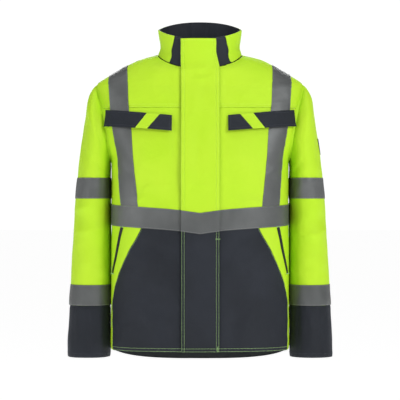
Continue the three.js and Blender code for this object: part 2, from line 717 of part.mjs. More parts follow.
// A strip of even width along a path on a surface. The path gives a spot for a share of its way.
function stripSpots(surface, path, width, steps, columns) {
  const rows = [];
  for (let row = 0; row <= steps; row += 1) {
    const share = row / steps;
    const here = path(share);
    const before = path(Math.max(share - PATH_STEP, 0));
    const after = path(Math.min(share + PATH_STEP, 1));
    const ahead = surface.point(after.turn, after.height)
      .sub(surface.point(before.turn, before.height));
    const byTurn = surface.point(here.turn + TURN_STEP, here.height)
      .sub(surface.point(here.turn - TURN_STEP, here.height)).divideScalar(2 * TURN_STEP);
    const byHeight = surface.point(here.turn, here.height + HEIGHT_STEP)
      .sub(surface.point(here.turn, here.height - HEIGHT_STEP)).divideScalar(2 * HEIGHT_STEP);
    let turn = byHeight.dot(ahead);
    let height = -byTurn.dot(ahead);
    const size = byTurn.multiplyScalar(turn).addScaledVector(byHeight, height).length();
    turn /= size;
    height /= size;
    const spots = [];
    for (let column = 0; column <= columns; column += 1) {
      const aside = (column / columns - 0.5) * width;
      spots.push({ turn: here.turn + turn * aside, height: here.height + height * aside });
    }
    rows.push(spots);
  }
  return rows;
}

function waistTapes() {
  const half = TAPE_WIDTH / 2;
  const rows = (turns) => [-half, 0, half].map((drop) => (
    turns.map((turn) => ({ turn, height: waistHeight(turn) + drop }))
  ));
  for (const [side, word] of [[1, 'left'], [-1, 'right']]) {
    const start = Math.abs(turnAtX(FRONT_EDGE, WAIST_CENTRE));
    const turns = [...span(start, 0.5, 5), ...span(0.5, 1 - GAP_TURNS, 13).slice(1)];
    panel(`waist_tape_front_${word}`, 'tape', BODY, rows(turns.map((turn) => side * turn)),
      TAPE_TOP, TAPE_FLOOR);
  }
  const corner = span(1 + GAP_TURNS, 1.5, 13);
  const turns = [...corner, ...span(1.5, 2.5, 10).slice(1, -1), ...corner.map((t) => 4 - t).reverse()];
  panel('waist_tape_back', 'tape', BODY, rows(turns), TAPE_TOP, TAPE_FLOOR);
  flapTape();
}

function flapTape() {
  const half = TAPE_WIDTH / 2;
  const drop = (z) => (x) => waistLine(x) + z;
  const rows = [drop(-half), drop(0), drop(half)];
  const sewn = () => FLAP_SEWN_EDGE;
  const outer = (share) => flapFloor(share) + CLOTH + TAPE_TOP;
  const inner = (share) => flapFloor(share) + CLOTH + TAPE_FLOOR;
  const strip = frontStrip(FLAP_FREE_EDGE, sewn, 4, rows, [], outer, inner);
  add('waist_tape_flap', strip, 'tape');
}

// Shoulder tapes: up the front, over the shoulder and down the back, from waist tape to waist tape.
// On the front and the back the way goes by height, over the shoulder by the turn round the body.
function shoulderTapes() {
  const { rows, overRows, lowest, overFrom, endEase } = SHOULDER_TAPE;
  const out = (z) => rowAt(SHOULDER_TAPE_LINE, 'height', z).out;
  const top = out(overFrom);
  const turns = ['front', 'back'].map((face) => bodySpot(top, overFrom, face).turn);
  const upTo = rows / (2 * rows + overRows);
  const path = (share) => {
    if (share > upTo && share < 1 - upTo) {
      const over = (share - upTo) / (1 - 2 * upTo);
      const eased = over - (endEase * Math.sin(over * 4 * QUARTER)) / (4 * QUARTER);
      const turn = THREE.MathUtils.lerp(turns[0], turns[1], eased);
      return { turn, height: heightAtX(turn, top) };
    }
    const up = Math.min(share, 1 - share) / upTo;
    const z = THREE.MathUtils.lerp(lowest, overFrom, up);
    return bodySpot(out(z), z, share < 0.5 ? 'front' : 'back');
  };
  const spots = stripSpots(BODY, path, TAPE_WIDTH, 2 * rows + overRows, 4);
  const kept = trimToTape(spots, TAPE_WIDTH / 2 + SEAM_GAP);
  for (const [side, word] of [[1, 'left'], [-1, 'right']]) {
    const sided = kept.map((row) => row.map((spot) => ({ ...spot, turn: side * spot.turn })));
    panel(`shoulder_tape_${word}`, 'tape', BODY, sided, TAPE_TOP, TAPE_FLOOR);
  }
}

// The height on the shoulder where a line of one turn is this far from the middle
function heightAtX(turn, x) {
  let low = SHOULDER_FROM;
  let high = NECK;
  for (let i = 0; i < 30; i += 1) {
    const middle = (low + high) / 2;
    if (bodyPoint(turn, middle).x > x) low = middle;
    else high = middle;
  }
  return low;
}

// Cuts a shoulder tape off just above the waist tape at both of its ends, where a first row that
// is shorter than this is left out
const SHORTEST_ROW = 4;

function trimToTape(spots, clear) {
  const above = (spot) => bodyPoint(spot.turn, spot.height).z - waistHeight(spot.turn) - clear;
  const kept = spots.filter((row) => row.every((spot) => above(spot) > SHORTEST_ROW));
  for (const [from, to] of [[kept[0], kept[1]], [kept[kept.length - 1], kept[kept.length - 2]]]) {
    from.forEach((spot, i) => {
      const rise = bodyPoint(to[i].turn, to[i].height).z - bodyPoint(spot.turn, spot.height).z;
      const share = above(spot) / rise;
      spot.turn -= (to[i].turn - spot.turn) * share;
      spot.height -= (to[i].height - spot.height) * share;
    });
  }
  return kept;
}

function pocketFlapPiece(side, leftTop, rightTop, leftBottom, rightBottom) {
  const flap = FLAP_POCKET;
  const edgeZ = (x, outerZ, innerZ) => (
    THREE.MathUtils.mapLinear(x, flap.outer, flap.inner, outerZ, innerZ)
  );
  const grids = [[], []];
  for (const down of span(0, 1, 3)) {
    const rows = [[], []];
    for (const across of span(0, 1, 4)) {
      const topX = THREE.MathUtils.lerp(leftTop, rightTop, across);
      const bottomX = THREE.MathUtils.lerp(leftBottom, rightBottom, across);
      const x = THREE.MathUtils.lerp(topX, bottomX, down);
      const top = edgeZ(x, flap.outerTop, flap.innerTop);
      const bottom = edgeZ(x, flap.outerBottom, flap.innerBottom);
      const spot = bodySpot(side * x, THREE.MathUtils.lerp(top, bottom, down));
      const floor = THREE.MathUtils.lerp(flap.floorTop, flap.floorBottom, down);
      rows[0].push(raised(BODY, spot.turn, spot.height, floor + CLOTH));
      rows[1].push(raised(BODY, spot.turn, spot.height, floor));
    }
    grids[0].push(rows[0]);
    grids[1].push(rows[1]);
  }
  return wallGeometry(grids[0], grids[1]);
}

// A slanted seam needs this much more room sideways than an upright one
const SLANT = 1.3;

function chestPocketFlaps() {
  const { outer, inner, stripeTop, stripeBottom } = FLAP_POCKET;
  const gap = HALF_GAP * SLANT;
  for (const [side, word] of [[1, 'left'], [-1, 'right']]) {
    const outerPiece = [outer, stripeTop[0] + gap, outer, stripeBottom[0] + gap];
    const stripe = [stripeTop[0] - gap, stripeTop[1] + gap, stripeBottom[0] - gap, stripeBottom[1] + gap];
    const innerPiece = [stripeTop[1] - gap, inner, stripeBottom[1] - gap, inner];
    add(`chest_flap_${word}_outer`, pocketFlapPiece(side, ...outerPiece), 'navy');
    add(`chest_flap_${word}_stripe`, pocketFlapPiece(side, ...stripe), 'yellow');
    add(`chest_flap_${word}_inner`, pocketFlapPiece(side, ...innerPiece), 'navy');
  }
}

function sidePocketZips() {
  const zip = POCKET_ZIP;
  for (const [side, word] of [[1, 'left'], [-1, 'right']]) {
    const path = (share) => bodySpot(
      side * THREE.MathUtils.lerp(zip.topX, zip.bottomX, share),
      THREE.MathUtils.lerp(zip.topZ, zip.bottomZ, share),
    );
    const spots = stripSpots(BODY, path, zip.width, 8, 2);
    panel(`pocket_zip_${word}`, 'zip', BODY, spots, zip.top, zip.floor);
  }
}

// Sleeves: round walls from the armhole to the cuff seam, cuffs, tapes and the patch
const SLEEVE_SIDES = 28;
const SLEEVE_ROWS = 16;
const CUFF_ROWS = 3;

function roundLayer(side, rows, out) {
  const surface = sleeveSurface(side);
  return rows.map((placeOf) => span(0, 4, SLEEVE_SIDES).slice(0, -1).map((round) => (
    raised(surface, round, placeOf(round), out)
  )));
}

function roundWall(name, finish, side, rows, outer = 0, inner = -CLOTH) {
  const grids = [roundLayer(side, rows, outer), roundLayer(side, rows, inner)];
  add(name, wallGeometry(grids[0], grids[1], true), finish);
}

function sleevePieces(side, word) {
  const toHeight = (height) => (round) => sleevePlace(side, round, height);
  const seam = toHeight(CUFF_SEAM + HALF_GAP);
  const sleeveRows = span(0, 1, SLEEVE_ROWS).map((t) => (round) => seam(round) * t ** 1.5);
  roundWall(`sleeve_${word}`, 'yellow', side, sleeveRows);
  const cuffRows = span(CUFF_SEAM - HALF_GAP, SLEEVE_END, CUFF_ROWS).map(toHeight);
  roundWall(`cuff_${word}`, 'navy', side, cuffRows);
  for (const [low, name] of [[UPPER_SLEEVE_TAPE, 'upper'], [LOWER_SLEEVE_TAPE, 'lower']]) {
    const rows = [low, low + TAPE_WIDTH].map(toHeight);
    roundWall(`sleeve_tape_${name}_${word}`, 'tape', side, rows, TAPE_TOP, TAPE_FLOOR);
  }
}

function sleevePatch() {
  const side = 1;
  const surface = sleeveSurface(side);
  const spots = span(PATCH.low, PATCH.high, 2).map((height) => (
    span(-PATCH.halfTurn, PATCH.halfTurn, 3).map((turn) => (
      { turn, height: sleevePlace(side, turn, height) }
    ))
  ));
  panel('sleeve_patch', 'navy', surface, spots, TAPE_TOP, TAPE_FLOOR);
}

for (const [side, word] of [[1, 'left'], [-1, 'right']]) {
  frontPanels(side, word);
  sidePanel(side, word);
  sleevePieces(side, word);
}
backPanels();
collarPieces();
stormFlap();
frontZip();
waistTapes();
shoulderTapes();
chestPocketFlaps();
sidePocketZips();
sleevePatch();

export default jacket;
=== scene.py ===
# %% [markdown]
# # A hi-vis work jacket
# This lesson dresses a finished CAD model of a padded work jacket. The jacket is filled out as it
# is worn, but it is empty. The front faces -Y, left and right are the wearer's, so left is +X,
# and the origin is in the middle of the neck opening. Sizes are worked out in millimetres, as a
# tailor would, and become metres when a mesh is made.

# %% Start
import json
import math

import bpy
import numpy as np
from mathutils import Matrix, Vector

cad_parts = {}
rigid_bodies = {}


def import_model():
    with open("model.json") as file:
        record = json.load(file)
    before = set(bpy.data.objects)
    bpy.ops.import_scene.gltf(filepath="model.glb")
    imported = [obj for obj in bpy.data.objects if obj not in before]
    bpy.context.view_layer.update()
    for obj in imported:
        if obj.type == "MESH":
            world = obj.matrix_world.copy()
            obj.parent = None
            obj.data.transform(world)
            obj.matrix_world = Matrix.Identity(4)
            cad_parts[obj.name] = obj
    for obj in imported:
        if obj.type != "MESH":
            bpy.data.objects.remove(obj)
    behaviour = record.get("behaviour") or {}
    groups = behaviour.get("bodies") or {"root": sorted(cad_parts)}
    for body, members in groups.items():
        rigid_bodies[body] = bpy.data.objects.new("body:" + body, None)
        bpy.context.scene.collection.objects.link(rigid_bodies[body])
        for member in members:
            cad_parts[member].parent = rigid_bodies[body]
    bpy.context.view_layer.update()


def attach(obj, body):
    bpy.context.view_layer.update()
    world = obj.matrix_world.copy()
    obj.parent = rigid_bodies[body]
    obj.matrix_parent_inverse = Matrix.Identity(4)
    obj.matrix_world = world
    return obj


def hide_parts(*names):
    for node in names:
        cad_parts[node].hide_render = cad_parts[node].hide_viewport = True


for thing in list(bpy.data.objects):
    bpy.data.objects.remove(thing)
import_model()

# %% [markdown]
# ## Camera, floor and light
# The photograph is a packshot: level, straight from the front and from far away, on plain white.
# The camera stands 4 m in front of the jacket's middle line with a long lens. A real jacket would
# have legs below it, so the floor lies where the wearer would stand. It is pale and wide and gives
# off some light, so it is as white as the world behind it. The world looks brighter to the camera
# than it shines on the cloth, because most of the light comes from four soft boxes.

# %% Camera
CAMERA_DISTANCE = 4.0
CAMERA_HEIGHT = -0.354
CAMERA_LENS = 147.5
FLOOR = -1.5
FLOOR_REACH = 60.0
FLOOR_GLOW = 0.8

camera_data = bpy.data.cameras.new("camera")
camera_data.lens = CAMERA_LENS
camera_data.sensor_width = 36.0
camera_data.clip_end = 200.0
camera = bpy.data.objects.new("camera", camera_data)
camera.location = (0.0, -CAMERA_DISTANCE, CAMERA_HEIGHT)
camera.rotation_euler = (math.radians(90.0), 0.0, 0.0)
bpy.context.scene.collection.objects.link(camera)
bpy.context.scene.camera = camera
print("camera", tuple(camera.location), "lens", CAMERA_LENS)

# %% Floor
def new_material(name):
    material = bpy.data.materials.new(name)
    material.use_nodes = True
    return material


floor_mesh = bpy.data.meshes.new("floor")
corners = [(x * FLOOR_REACH, y * FLOOR_REACH, FLOOR) for x, y in ((-1, -1), (1, -1), (1, 1), (-1, 1))]
floor_mesh.from_pydata(corners, [], [(0, 1, 2, 3)])
floor = bpy.data.objects.new("floor", floor_mesh)
bpy.context.scene.collection.objects.link(floor)
floor_material = new_material("pale_floor")
floor_shader = floor_material.node_tree.nodes["Principled BSDF"]
floor_shader.inputs["Base Color"].default_value = (0.9, 0.9, 0.9, 1.0)
floor_shader.inputs["Roughness"].default_value = 0.9
floor_shader.inputs["Emission Color"].default_value = (1.0, 1.0, 1.0, 1.0)
floor_shader.inputs["Emission Strength"].default_value = FLOOR_GLOW
floor_mesh.materials.append(floor_material)
print("floor at", FLOOR)

# %% Lights
def softbox(name, place, target, size, power):
    """An area light of size metres, at place, that looks at target."""
    light = bpy.data.lights.new(name, "AREA")
    light.shape = "RECTANGLE"
    light.size, light.size_y = size
    light.energy = power
    lamp = bpy.data.objects.new(name, light)
    lamp.location = place
    way = Vector(target) - Vector(place)
    lamp.rotation_mode = "QUATERNION"
    lamp.rotation_quaternion = way.to_track_quat("-Z", "Y")
    bpy.context.scene.collection.objects.link(lamp)


MIDDLE = (0.0, 0.0, -0.35)
WORLD_LIGHT, WORLD_SEEN = 0.2, 1.05
softbox("key_light", (2.3, -2.6, 1.2), MIDDLE, (1.0, 1.3), 66.0)
softbox("fill_light", (-2.7, -1.9, 0.6), MIDDLE, (1.2, 1.8), 30.0)
softbox("top_light", (0.0, -0.4, 2.4), MIDDLE, (2.2, 1.6), 28.0)
softbox("back_light", (0.0, 3.2, 0.9), MIDDLE, (2.4, 1.6), 60.0)

world = bpy.data.worlds.new("studio")
world.use_nodes = True
sky = world.node_tree.nodes["Background"]
seen = world.node_tree.nodes.new("ShaderNodeLightPath")
level = world.node_tree.nodes.new("ShaderNodeMapRange")
level.inputs["To Min"].default_value = WORLD_LIGHT
level.inputs["To Max"].default_value = WORLD_SEEN
world.node_tree.links.new(seen.outputs["Is Camera Ray"], level.inputs["Value"])
world.node_tree.links.new(level.outputs[0], sky.inputs["Strength"])
sky.inputs["Color"].default_value = (1.0, 1.0, 1.0, 1.0)
bpy.context.scene.world = world
bpy.context.scene.view_settings.view_transform = "Standard"
print("four soft lights and a white world")

# %% [markdown]
# ## The jacket's own form
# A tailor's dummy could be sculpted or a body scanned, but a jacket has few sizes that matter: how
# wide and deep it is at each height. So a table of rings describes the body, one the collar and
# one a sleeve, and a smooth curve runs through each column. The corner exponent makes a ring an
# oval (2) or rounder at its corners (3). These are the CAD model's own rings, so the fine cloth
# lies where the solids are.

# %% Tables of rings
def table(columns, rows):
    values = np.array(rows, dtype=float)
    return {column: values[:, i] for i, column in enumerate(columns)}


BODY_COLUMNS = ["side", "half", "front", "back", "middle", "square", "lift_front", "lift_back"]
BODY_RINGS = table(BODY_COLUMNS, [
    (-715, 216, 128, 128, -3, 3.0, 1, -37),
    (-560, 215, 131, 126, -3, 3.0, 0, -15),
    (-400, 214, 132, 120, -4, 3.0, 0, 0),
    (-300, 214.5, 134, 124, -3, 3.05, 0, 0),
    (-262, 216, 133, 126, -3, 3.1, 0, 0),
    (-215, 232, 126, 126, -2, 3.05, 0, 0),
    (-160, 246, 114, 121, -1, 2.9, 0, 0),
    (-110, 251, 102, 113, 0, 2.65, -2, 3),
    (-80, 252.5, 93, 106, 0, 2.45, -7, 7),
    (-71, 250, 90, 103, 0, 2.4, -9, 8),
    (-64, 242, 89, 101, 0, 2.36, -11, 9),
    (-42, 205, 87, 97, 0, 2.28, -20, 13),
    (-12, 149, 85, 92, 1, 2.2, -33, 19),
    (0, 103, 83, 88, 2, 2.15, -38, 22),
])
COLLAR_RINGS = table(BODY_COLUMNS, [
    (0, 103, 83, 88, 2, 2.15, -38, 22),
    (18, 97, 80, 85, 2, 2.15, -36, 24),
    (40, 100, 81, 84, 2, 2.2, -32, 26),
    (61, 103.5, 83, 84, 2, 2.2, -28, 27.5),
])
SLEEVE_COLUMNS = ["along", "out_x", "out_z", "in_x", "in_z", "middle", "front", "back", "square"]
SLEEVE_RINGS = table(SLEEVE_COLUMNS, [
    (24, 270, -100, 217.6, -270, 0, 83, 85, 2.1),
    (58, 279.5, -152, 218, -284, 3, 87, 86, 2.1),
    (112, 291.5, -232, 218.2, -308, 6, 87, 86, 2.15),
    (204, 304, -350, 218, -378, 9, 80, 80, 2.2),
    (280, 309, -430, 217.5, -452, 10, 75, 75, 2.2),
    (350, 313.5, -505, 217.5, -520, 8, 69, 69, 2.2),
    (450, 318.4, -609, 218, -615, 3, 62, 62, 2.2),
    (525, 322.5, -690, 218.5, -690, -1, 56, 56, 2.2),
    (568, 323.5, -734, 218.5, -734, -3, 54, 54, 2.2),
])
HEM, UNDERARM, SHOULDER_TIP, NECK, COLLAR_TOP = -715.0, -262.0, -71.0, 0.0, 61.0
CUFF_SEAM, SLEEVE_END = -609.0, -734.0
QUARTER = math.pi / 2
print("body", len(BODY_RINGS["side"]), "collar", len(COLLAR_RINGS["side"]), "rings")

# %% A smooth curve through a table
def steady_slopes(keys, values):
    """Slopes that never make the curve swing past a row of its table."""
    rise = np.diff(values) / np.diff(keys)
    before, after = rise[:-1], rise[1:]
    steady = before * after > 0
    total = np.where(steady, before + after, 1.0)
    middle = np.where(steady, 2 * before * after / total, 0.0)
    return np.concatenate([rise[:1], middle, rise[-1:]])


def hermite(start, end, slope_start, slope_end, span, t):
    t2, t3 = t * t, t * t * t
    first = (2 * t3 - 3 * t2 + 1) * start + (t3 - 2 * t2 + t) * span * slope_start
    return first + (3 * t2 - 2 * t3) * end + (t3 - t2) * span * slope_end


def along_table(rows, key, place):
    keys = rows[key]
    place = np.clip(place, keys[0], keys[-1])
    i = np.clip(np.searchsorted(keys, place) - 1, 0, len(keys) - 2)
    span = keys[i + 1] - keys[i]
    t = (place - keys[i]) / span
    mixed = {}
    for column, values in rows.items():
        slopes = steady_slopes(keys, values)
        mixed[column] = hermite(values[i], values[i + 1], slopes[i], slopes[i + 1], span, t)
    return mixed


# %% [markdown]
# A place on the body or the collar is given by its turn, which is 0 at the centre front, 1 at the
# left side, 2 at the centre back, and by the height that its ring has at the side. The neck and
# the hem aren't level, so a ring's front and back are lifted or dropped.

# %% Points of the body and the collar
LIFT_POWER = 1.5


def ring_point(ring, turn):
    s, c = np.sin(turn * QUARTER), np.cos(turn * QUARTER)
    depth = np.where(c > 0, ring["front"], ring["back"])
    size = np.abs(s / ring["half"]) ** ring["square"] + np.abs(c / depth) ** ring["square"]
    reach = size ** (-1 / ring["square"])
    share = reach * np.abs(c) / depth
    lift = np.where(c > 0, ring["lift_front"], ring["lift_back"]) * share ** LIFT_POWER
    return np.stack([reach * s, ring["middle"] - reach * c, ring["side"] + lift], axis=-1)


def body_point(turn, height):
    turn, height = np.broadcast_arrays(np.asarray(turn, float), np.asarray(height, float))
    return ring_point(along_table(BODY_RINGS, "side", height), turn)


def collar_point(turn, height):
    turn, height = np.broadcast_arrays(np.asarray(turn, float), np.asarray(height, float))
    return ring_point(along_table(COLLAR_RINGS, "side", height), turn)


def spot_seen(rings, x, z, front=True):
    """Turn and height of the place that is seen at x and z from the front, or from the back."""
    x, z = np.broadcast_arrays(np.asarray(x, float), np.asarray(z, float))
    height = z.copy()
    for _ in range(8):
        ring = along_table(rings, "side", height)
        part = np.minimum(np.abs(x) / ring["half"], 1.0)
        share = (1 - part ** ring["square"]) ** (1 / ring["square"])
        depth = share * (ring["front"] if front else ring["back"])
        turn = np.arctan2(np.abs(x), depth if front else -depth) / QUARTER
        height = z - (ring["lift_front"] if front else ring["lift_back"]) * share ** LIFT_POWER
    return np.where(x < 0, -turn, turn), height


print("front of the neck", body_point(0, NECK).round(1))
print("left shoulder tip", body_point(1, SHOULDER_TIP).round(1))

# %% [markdown]
# A hanging sleeve starts as an egg on the body's side, the armhole, and each line of it runs down
# through the sleeve's rings. A place on a sleeve is given by its round, which is 0 outside, 1 in
# front, 2 inside and 3 behind, and by how far along the sleeve it is.

# %% Points of a sleeve
ARMHOLE = {"reach": 0.17, "lean": 0.07, "gap": 0.3, "gap_turns": 0.0012, "step_out": 0.4}
ARMHOLE_MIDDLE = (SHOULDER_TIP + UNDERARM) / 2
ARMHOLE_HALF = (SHOULDER_TIP - UNDERARM) / 2


def armhole_spot(side, around, grown):
    s, c = np.sin(around * QUARTER), np.cos(around * QUARTER)
    reach = ARMHOLE["reach"] - ARMHOLE["lean"] * c + (ARMHOLE["gap_turns"] if grown else 0.0)
    half = ARMHOLE_HALF + (ARMHOLE["gap"] if grown else 0.0)
    return side * (1 - reach * s), ARMHOLE_MIDDLE + half * c


def sleeve_ring_points(side, around):
    """Points of every ring of the sleeve for these rounds: ring, round, xyz."""
    s, c = np.sin(around * QUARTER), np.cos(around * QUARTER)
    turn, height = armhole_spot(side, around, False)
    start = body_point(turn, height)
    start[..., 0] += side * ARMHOLE["step_out"]
    points = [start]
    for i in range(len(SLEEVE_RINGS["along"])):
        ring = {name: column[i] for name, column in SLEEVE_RINGS.items()}
        power = ring["square"]
        reach = (np.abs(c) ** power + np.abs(s) ** power) ** (-1 / power)
        depth = np.where(s > 0, ring["front"], ring["back"])
        x = (ring["out_x"] + ring["in_x"]) / 2 + (ring["out_x"] - ring["in_x"]) / 2 * c * reach
        z = (ring["out_z"] + ring["in_z"]) / 2 + (ring["out_z"] - ring["in_z"]) / 2 * c * reach
        points.append(np.stack([side * x, ring["middle"] - depth * s * reach, z], axis=-1))
    return np.stack(points)


def sleeve_point(side, around, along):
    around, along = np.broadcast_arrays(np.asarray(around, float), np.asarray(along, float))
    places = np.concatenate([[0.0], SLEEVE_RINGS["along"]])
    points = sleeve_ring_points(side, around)
    slopes = np.empty_like(points)
    steps = (places[2:] - places[:-2]).reshape((-1,) + (1,) * (points.ndim - 1))
    slopes[1:-1] = (points[2:] - points[:-2]) / steps
    first = (points[1] - points[0]) / (places[1] - places[0])
    slopes[0] = 2 * first - slopes[1]
    slopes[-1] = (points[-1] - points[-2]) / (places[-1] - places[-2])
    i = np.clip(np.searchsorted(places, along) - 1, 0, len(places) - 2)
    span = places[i + 1] - places[i]
    t = np.clip((along - places[i]) / span, 0, 1)[..., None]
    ends = [
        np.take_along_axis(values, at[None, ..., None], axis=0)[0]
        for values in (points, slopes) for at in (i, i + 1)
    ]
    return hermite(*ends, span[..., None], t)


def sleeve_place(side, around, height):
    """How far along the sleeve the line of this round comes down to a height."""
    around, height = np.broadcast_arrays(np.asarray(around, float), np.asarray(height, float))
    low = np.zeros(around.shape)
    high = np.full(around.shape, SLEEVE_RINGS["along"][-1])
    for _ in range(24):
        middle = (low + high) / 2
        above = sleeve_point(side, around, middle)[..., 2] > height
        low, high = np.where(above, middle, low), np.where(above, high, middle)
    return (low + high) / 2


print("left cuff, outside", sleeve_point(1, 0.0, 568.0).round(1))

# %% [markdown]
# ## Creases
# A worn jacket is full of soft creases: the padding buckles where an arm hangs, where a tape is
# stiffer than the cloth and under the pull of a pocket. A simulation would make folds of its own,
# so the main ones are listed, each as a ridge (+) or a trough (-) from one point to
# another, bowed a little, in millimetres. Then come faint ripples, and every seam is pulled in.

# %% Helpers for creases
def creases(rows, across, up):
    relief = np.zeros(np.broadcast(across, up).shape)
    for x0, z0, x1, z1, height, reach, bow in rows:
        dx, dz = x1 - x0, z1 - z0
        length = math.hypot(dx, dz)
        along = np.clip(((across - x0) * dx + (up - z0) * dz) / length ** 2, 0, 1)
        away = ((across - x0) * dz - (up - z0) * dx) / length - bow * np.sin(along * math.pi)
        relief += height * np.sin(along * math.pi) ** 0.8 * np.exp(-((away / reach) ** 2))
    return relief


def ripples(a, b, size, seed, count=8):
    """Faint uneven waves of about this size, the same on each run."""
    chance = np.random.default_rng(seed)
    total = np.zeros(np.broadcast(a, b).shape)
    for _ in range(count):
        way, start = chance.uniform(0, 2 * math.pi, 2)
        pace = 2 * math.pi / (size * chance.uniform(0.7, 1.6))
        total += np.sin((a * math.cos(way) + b * math.sin(way)) * pace + start)
    return total / math.sqrt(count)


# %% Creases of the body, seen from the front and from the back
# A row goes from x, z to x, z, and then gives the crease's height, its reach to each side and its bow.
FRONT_CREASES = [
    (-150, -300, -60, -352, -2.6, 26, 4),
    (140, -310, 66, -350, -2.4, 24, -4),
    (-150, -520, -70, -640, -2.8, 28, 6),
    (120, -500, 80, -660, -2.4, 28, -6),
    (-164, -372, -118, -318, 2.4, 7, 3),
    (-160, -352, -96, -326, -1.8, 7, -3),
    (-150, -330, -66, -318, 1.5, 9, 3),
    (154, -372, 104, -330, 2.2, 8, -3),
    (150, -350, 84, -338, -1.6, 8, 3),
    (-206, -200, -196, -300, -2.6, 11, 3),
    (206, -196, 198, -306, -2.4, 11, -3),
    (-204, -262, -150, -296, 2.2, 9, 3),
    (204, -262, 150, -300, 2.0, 9, -3),
    (-60, -110, -54, -330, -2.6, 9, 2),
    (-146, -320, -52, -317, 0.9, 3, 0),
    (146, -322, 54, -318, 0.8, 3, 0),
    (-120, -60, -92, -122, 1.6, 14, 3),
    (128, -62, 96, -118, 1.4, 14, -3),
    (-78, -48, -60, -120, -1.8, 9, 2),
    (70, -48, 62, -112, -1.2, 9, 2),
    (-196, -430, -120, -520, 2.2, 12, 5),
    (-170, -440, -70, -492, -2.0, 12, -4),
    (-64, -430, -112, -560, 1.8, 13, 6),
    (-160, -590, -96, -700, 2.0, 14, -6),
    (-92, -590, -70, -706, -1.9, 12, 4),
    (190, -440, 96, -512, 2.2, 12, -5),
    (150, -430, 70, -470, -1.9, 11, 4),
    (72, -470, 112, -600, 1.7, 13, 5),
    (160, -560, 96, -690, 2.1, 14, 6),
    (84, -610, 74, -706, -1.8, 12, 3),
]
BACK_CREASES = [
    (-140, -250, 60, -330, -2.8, 30, 5),
    (150, -520, 60, -620, -2.8, 32, 5),
    (-202, -210, -120, -250, 2.2, 11, 4),
    (202, -214, 110, -262, 2.4, 12, -4),
    (-150, -120, -60, -170, -1.8, 14, 4),
    (140, -116, 50, -160, -1.6, 14, -4),
    (-120, -330, 20, -372, 2.0, 10, 5),
    (130, -300, 10, -352, 1.8, 11, -6),
    (-60, -430, -30, -560, 2.0, 14, 5),
    (-170, -450, -90, -560, -2.2, 14, 5),
    (40, -430, 70, -600, -1.8, 13, -5),
    (-120, -590, -60, -720, 2.2, 15, 6),
    (110, -600, 80, -730, 2.0, 15, -6),
    (0, -620, 16, -730, -1.8, 13, 3),
]


# The sides of the body and the inner sides of the sleeves swell towards each other.
SIDE_SWELL = {"height": 1.2, "turns": 0.16, "sleeve_reach": 22.0, "from": -250.0, "fade": 40.0}
BODY_WAVE = {"height": 0.42, "round": 300, "size": 62, "seed": 3, "settle": 0.2}
COLLAR_WAVE = {"height": 0.55, "round": 130, "upright": 0.35, "size": 46, "seed": 11, "settle": 0.3}


def body_relief(turn, height, points):
    seen = (points[..., 0], points[..., 2])
    front = np.cos(turn * QUARTER)
    share = np.clip(front * 4 + 0.5, 0, 1)
    relief = share * creases(FRONT_CREASES, *seen) + (1 - share) * creases(BACK_CREASES, *seen)
    beside = sum(np.exp(-(((np.abs(turn) - place) / SIDE_SWELL["turns"]) ** 2)) for place in (1.0, 3.0))
    relief += SIDE_SWELL["height"] * beside * np.clip((SIDE_SWELL["from"] - height) / SIDE_SWELL["fade"], 0, 1)
    wave = ripples(turn * BODY_WAVE["round"], height, BODY_WAVE["size"], BODY_WAVE["seed"])
    return relief + BODY_WAVE["height"] * wave - BODY_WAVE["settle"]


def collar_relief(turn, height, points):
    across, up = turn * COLLAR_WAVE["round"], height * COLLAR_WAVE["upright"]
    wave = ripples(across, up, COLLAR_WAVE["size"], COLLAR_WAVE["seed"])
    return COLLAR_WAVE["height"] * wave - COLLAR_WAVE["settle"]


print(len(FRONT_CREASES), "creases in front and", len(BACK_CREASES), "behind")

# %% Creases of the sleeves, unrolled round the arm
SLEEVE_ROUND = 62.0
SLEEVE_SEAM = {"round": 2.1, "dip": 1.3, "width": 5.0}
SLEEVE_WAVE = {"height": 0.4, "round": 90, "size": 58, "settle": 0.2, "starts_over": 30.0}
LEFT_SLEEVE_CREASES = [
    (19, -392, 136, -412, -3.6, 18, 4),
    (68, -470, 165, -452, -3.2, 18, -4),
    (292, -420, 370, -398, -3.6, 20, 4),
    (10, -150, 60, -270, -2.4, 13, 4),
    (40, -120, 88, -200, 2.6, 10, 4),
    (70, -130, 120, -236, -2.8, 10, 3),
    (60, -300, 150, -336, 2.4, 10, -4),
    (90, -244, 168, -300, -2.2, 10, 4),
    (20, -424, 120, -438, 2.6, 9, 3),
    (40, -450, 150, -436, 2.2, 8, -3),
    (70, -498, 160, -484, 2.0, 10, 3),
    (30, -520, 110, -548, -1.8, 11, 3),
    (110, -540, 180, -520, 1.9, 10, -3),
    (220, -300, 330, -350, -2.4, 14, 5),
    (240, -430, 350, -452, 2.4, 10, 4),
    (250, -500, 340, -482, -2.0, 11, 4),
    (60, -620, 70, -726, -1.8, 9, 2),
    (104, -616, 98, -728, 1.8, 8, 2),
    (136, -612, 140, -730, -2.2, 8, -2),
    (260, -616, 250, -728, -1.8, 10, 3),
]
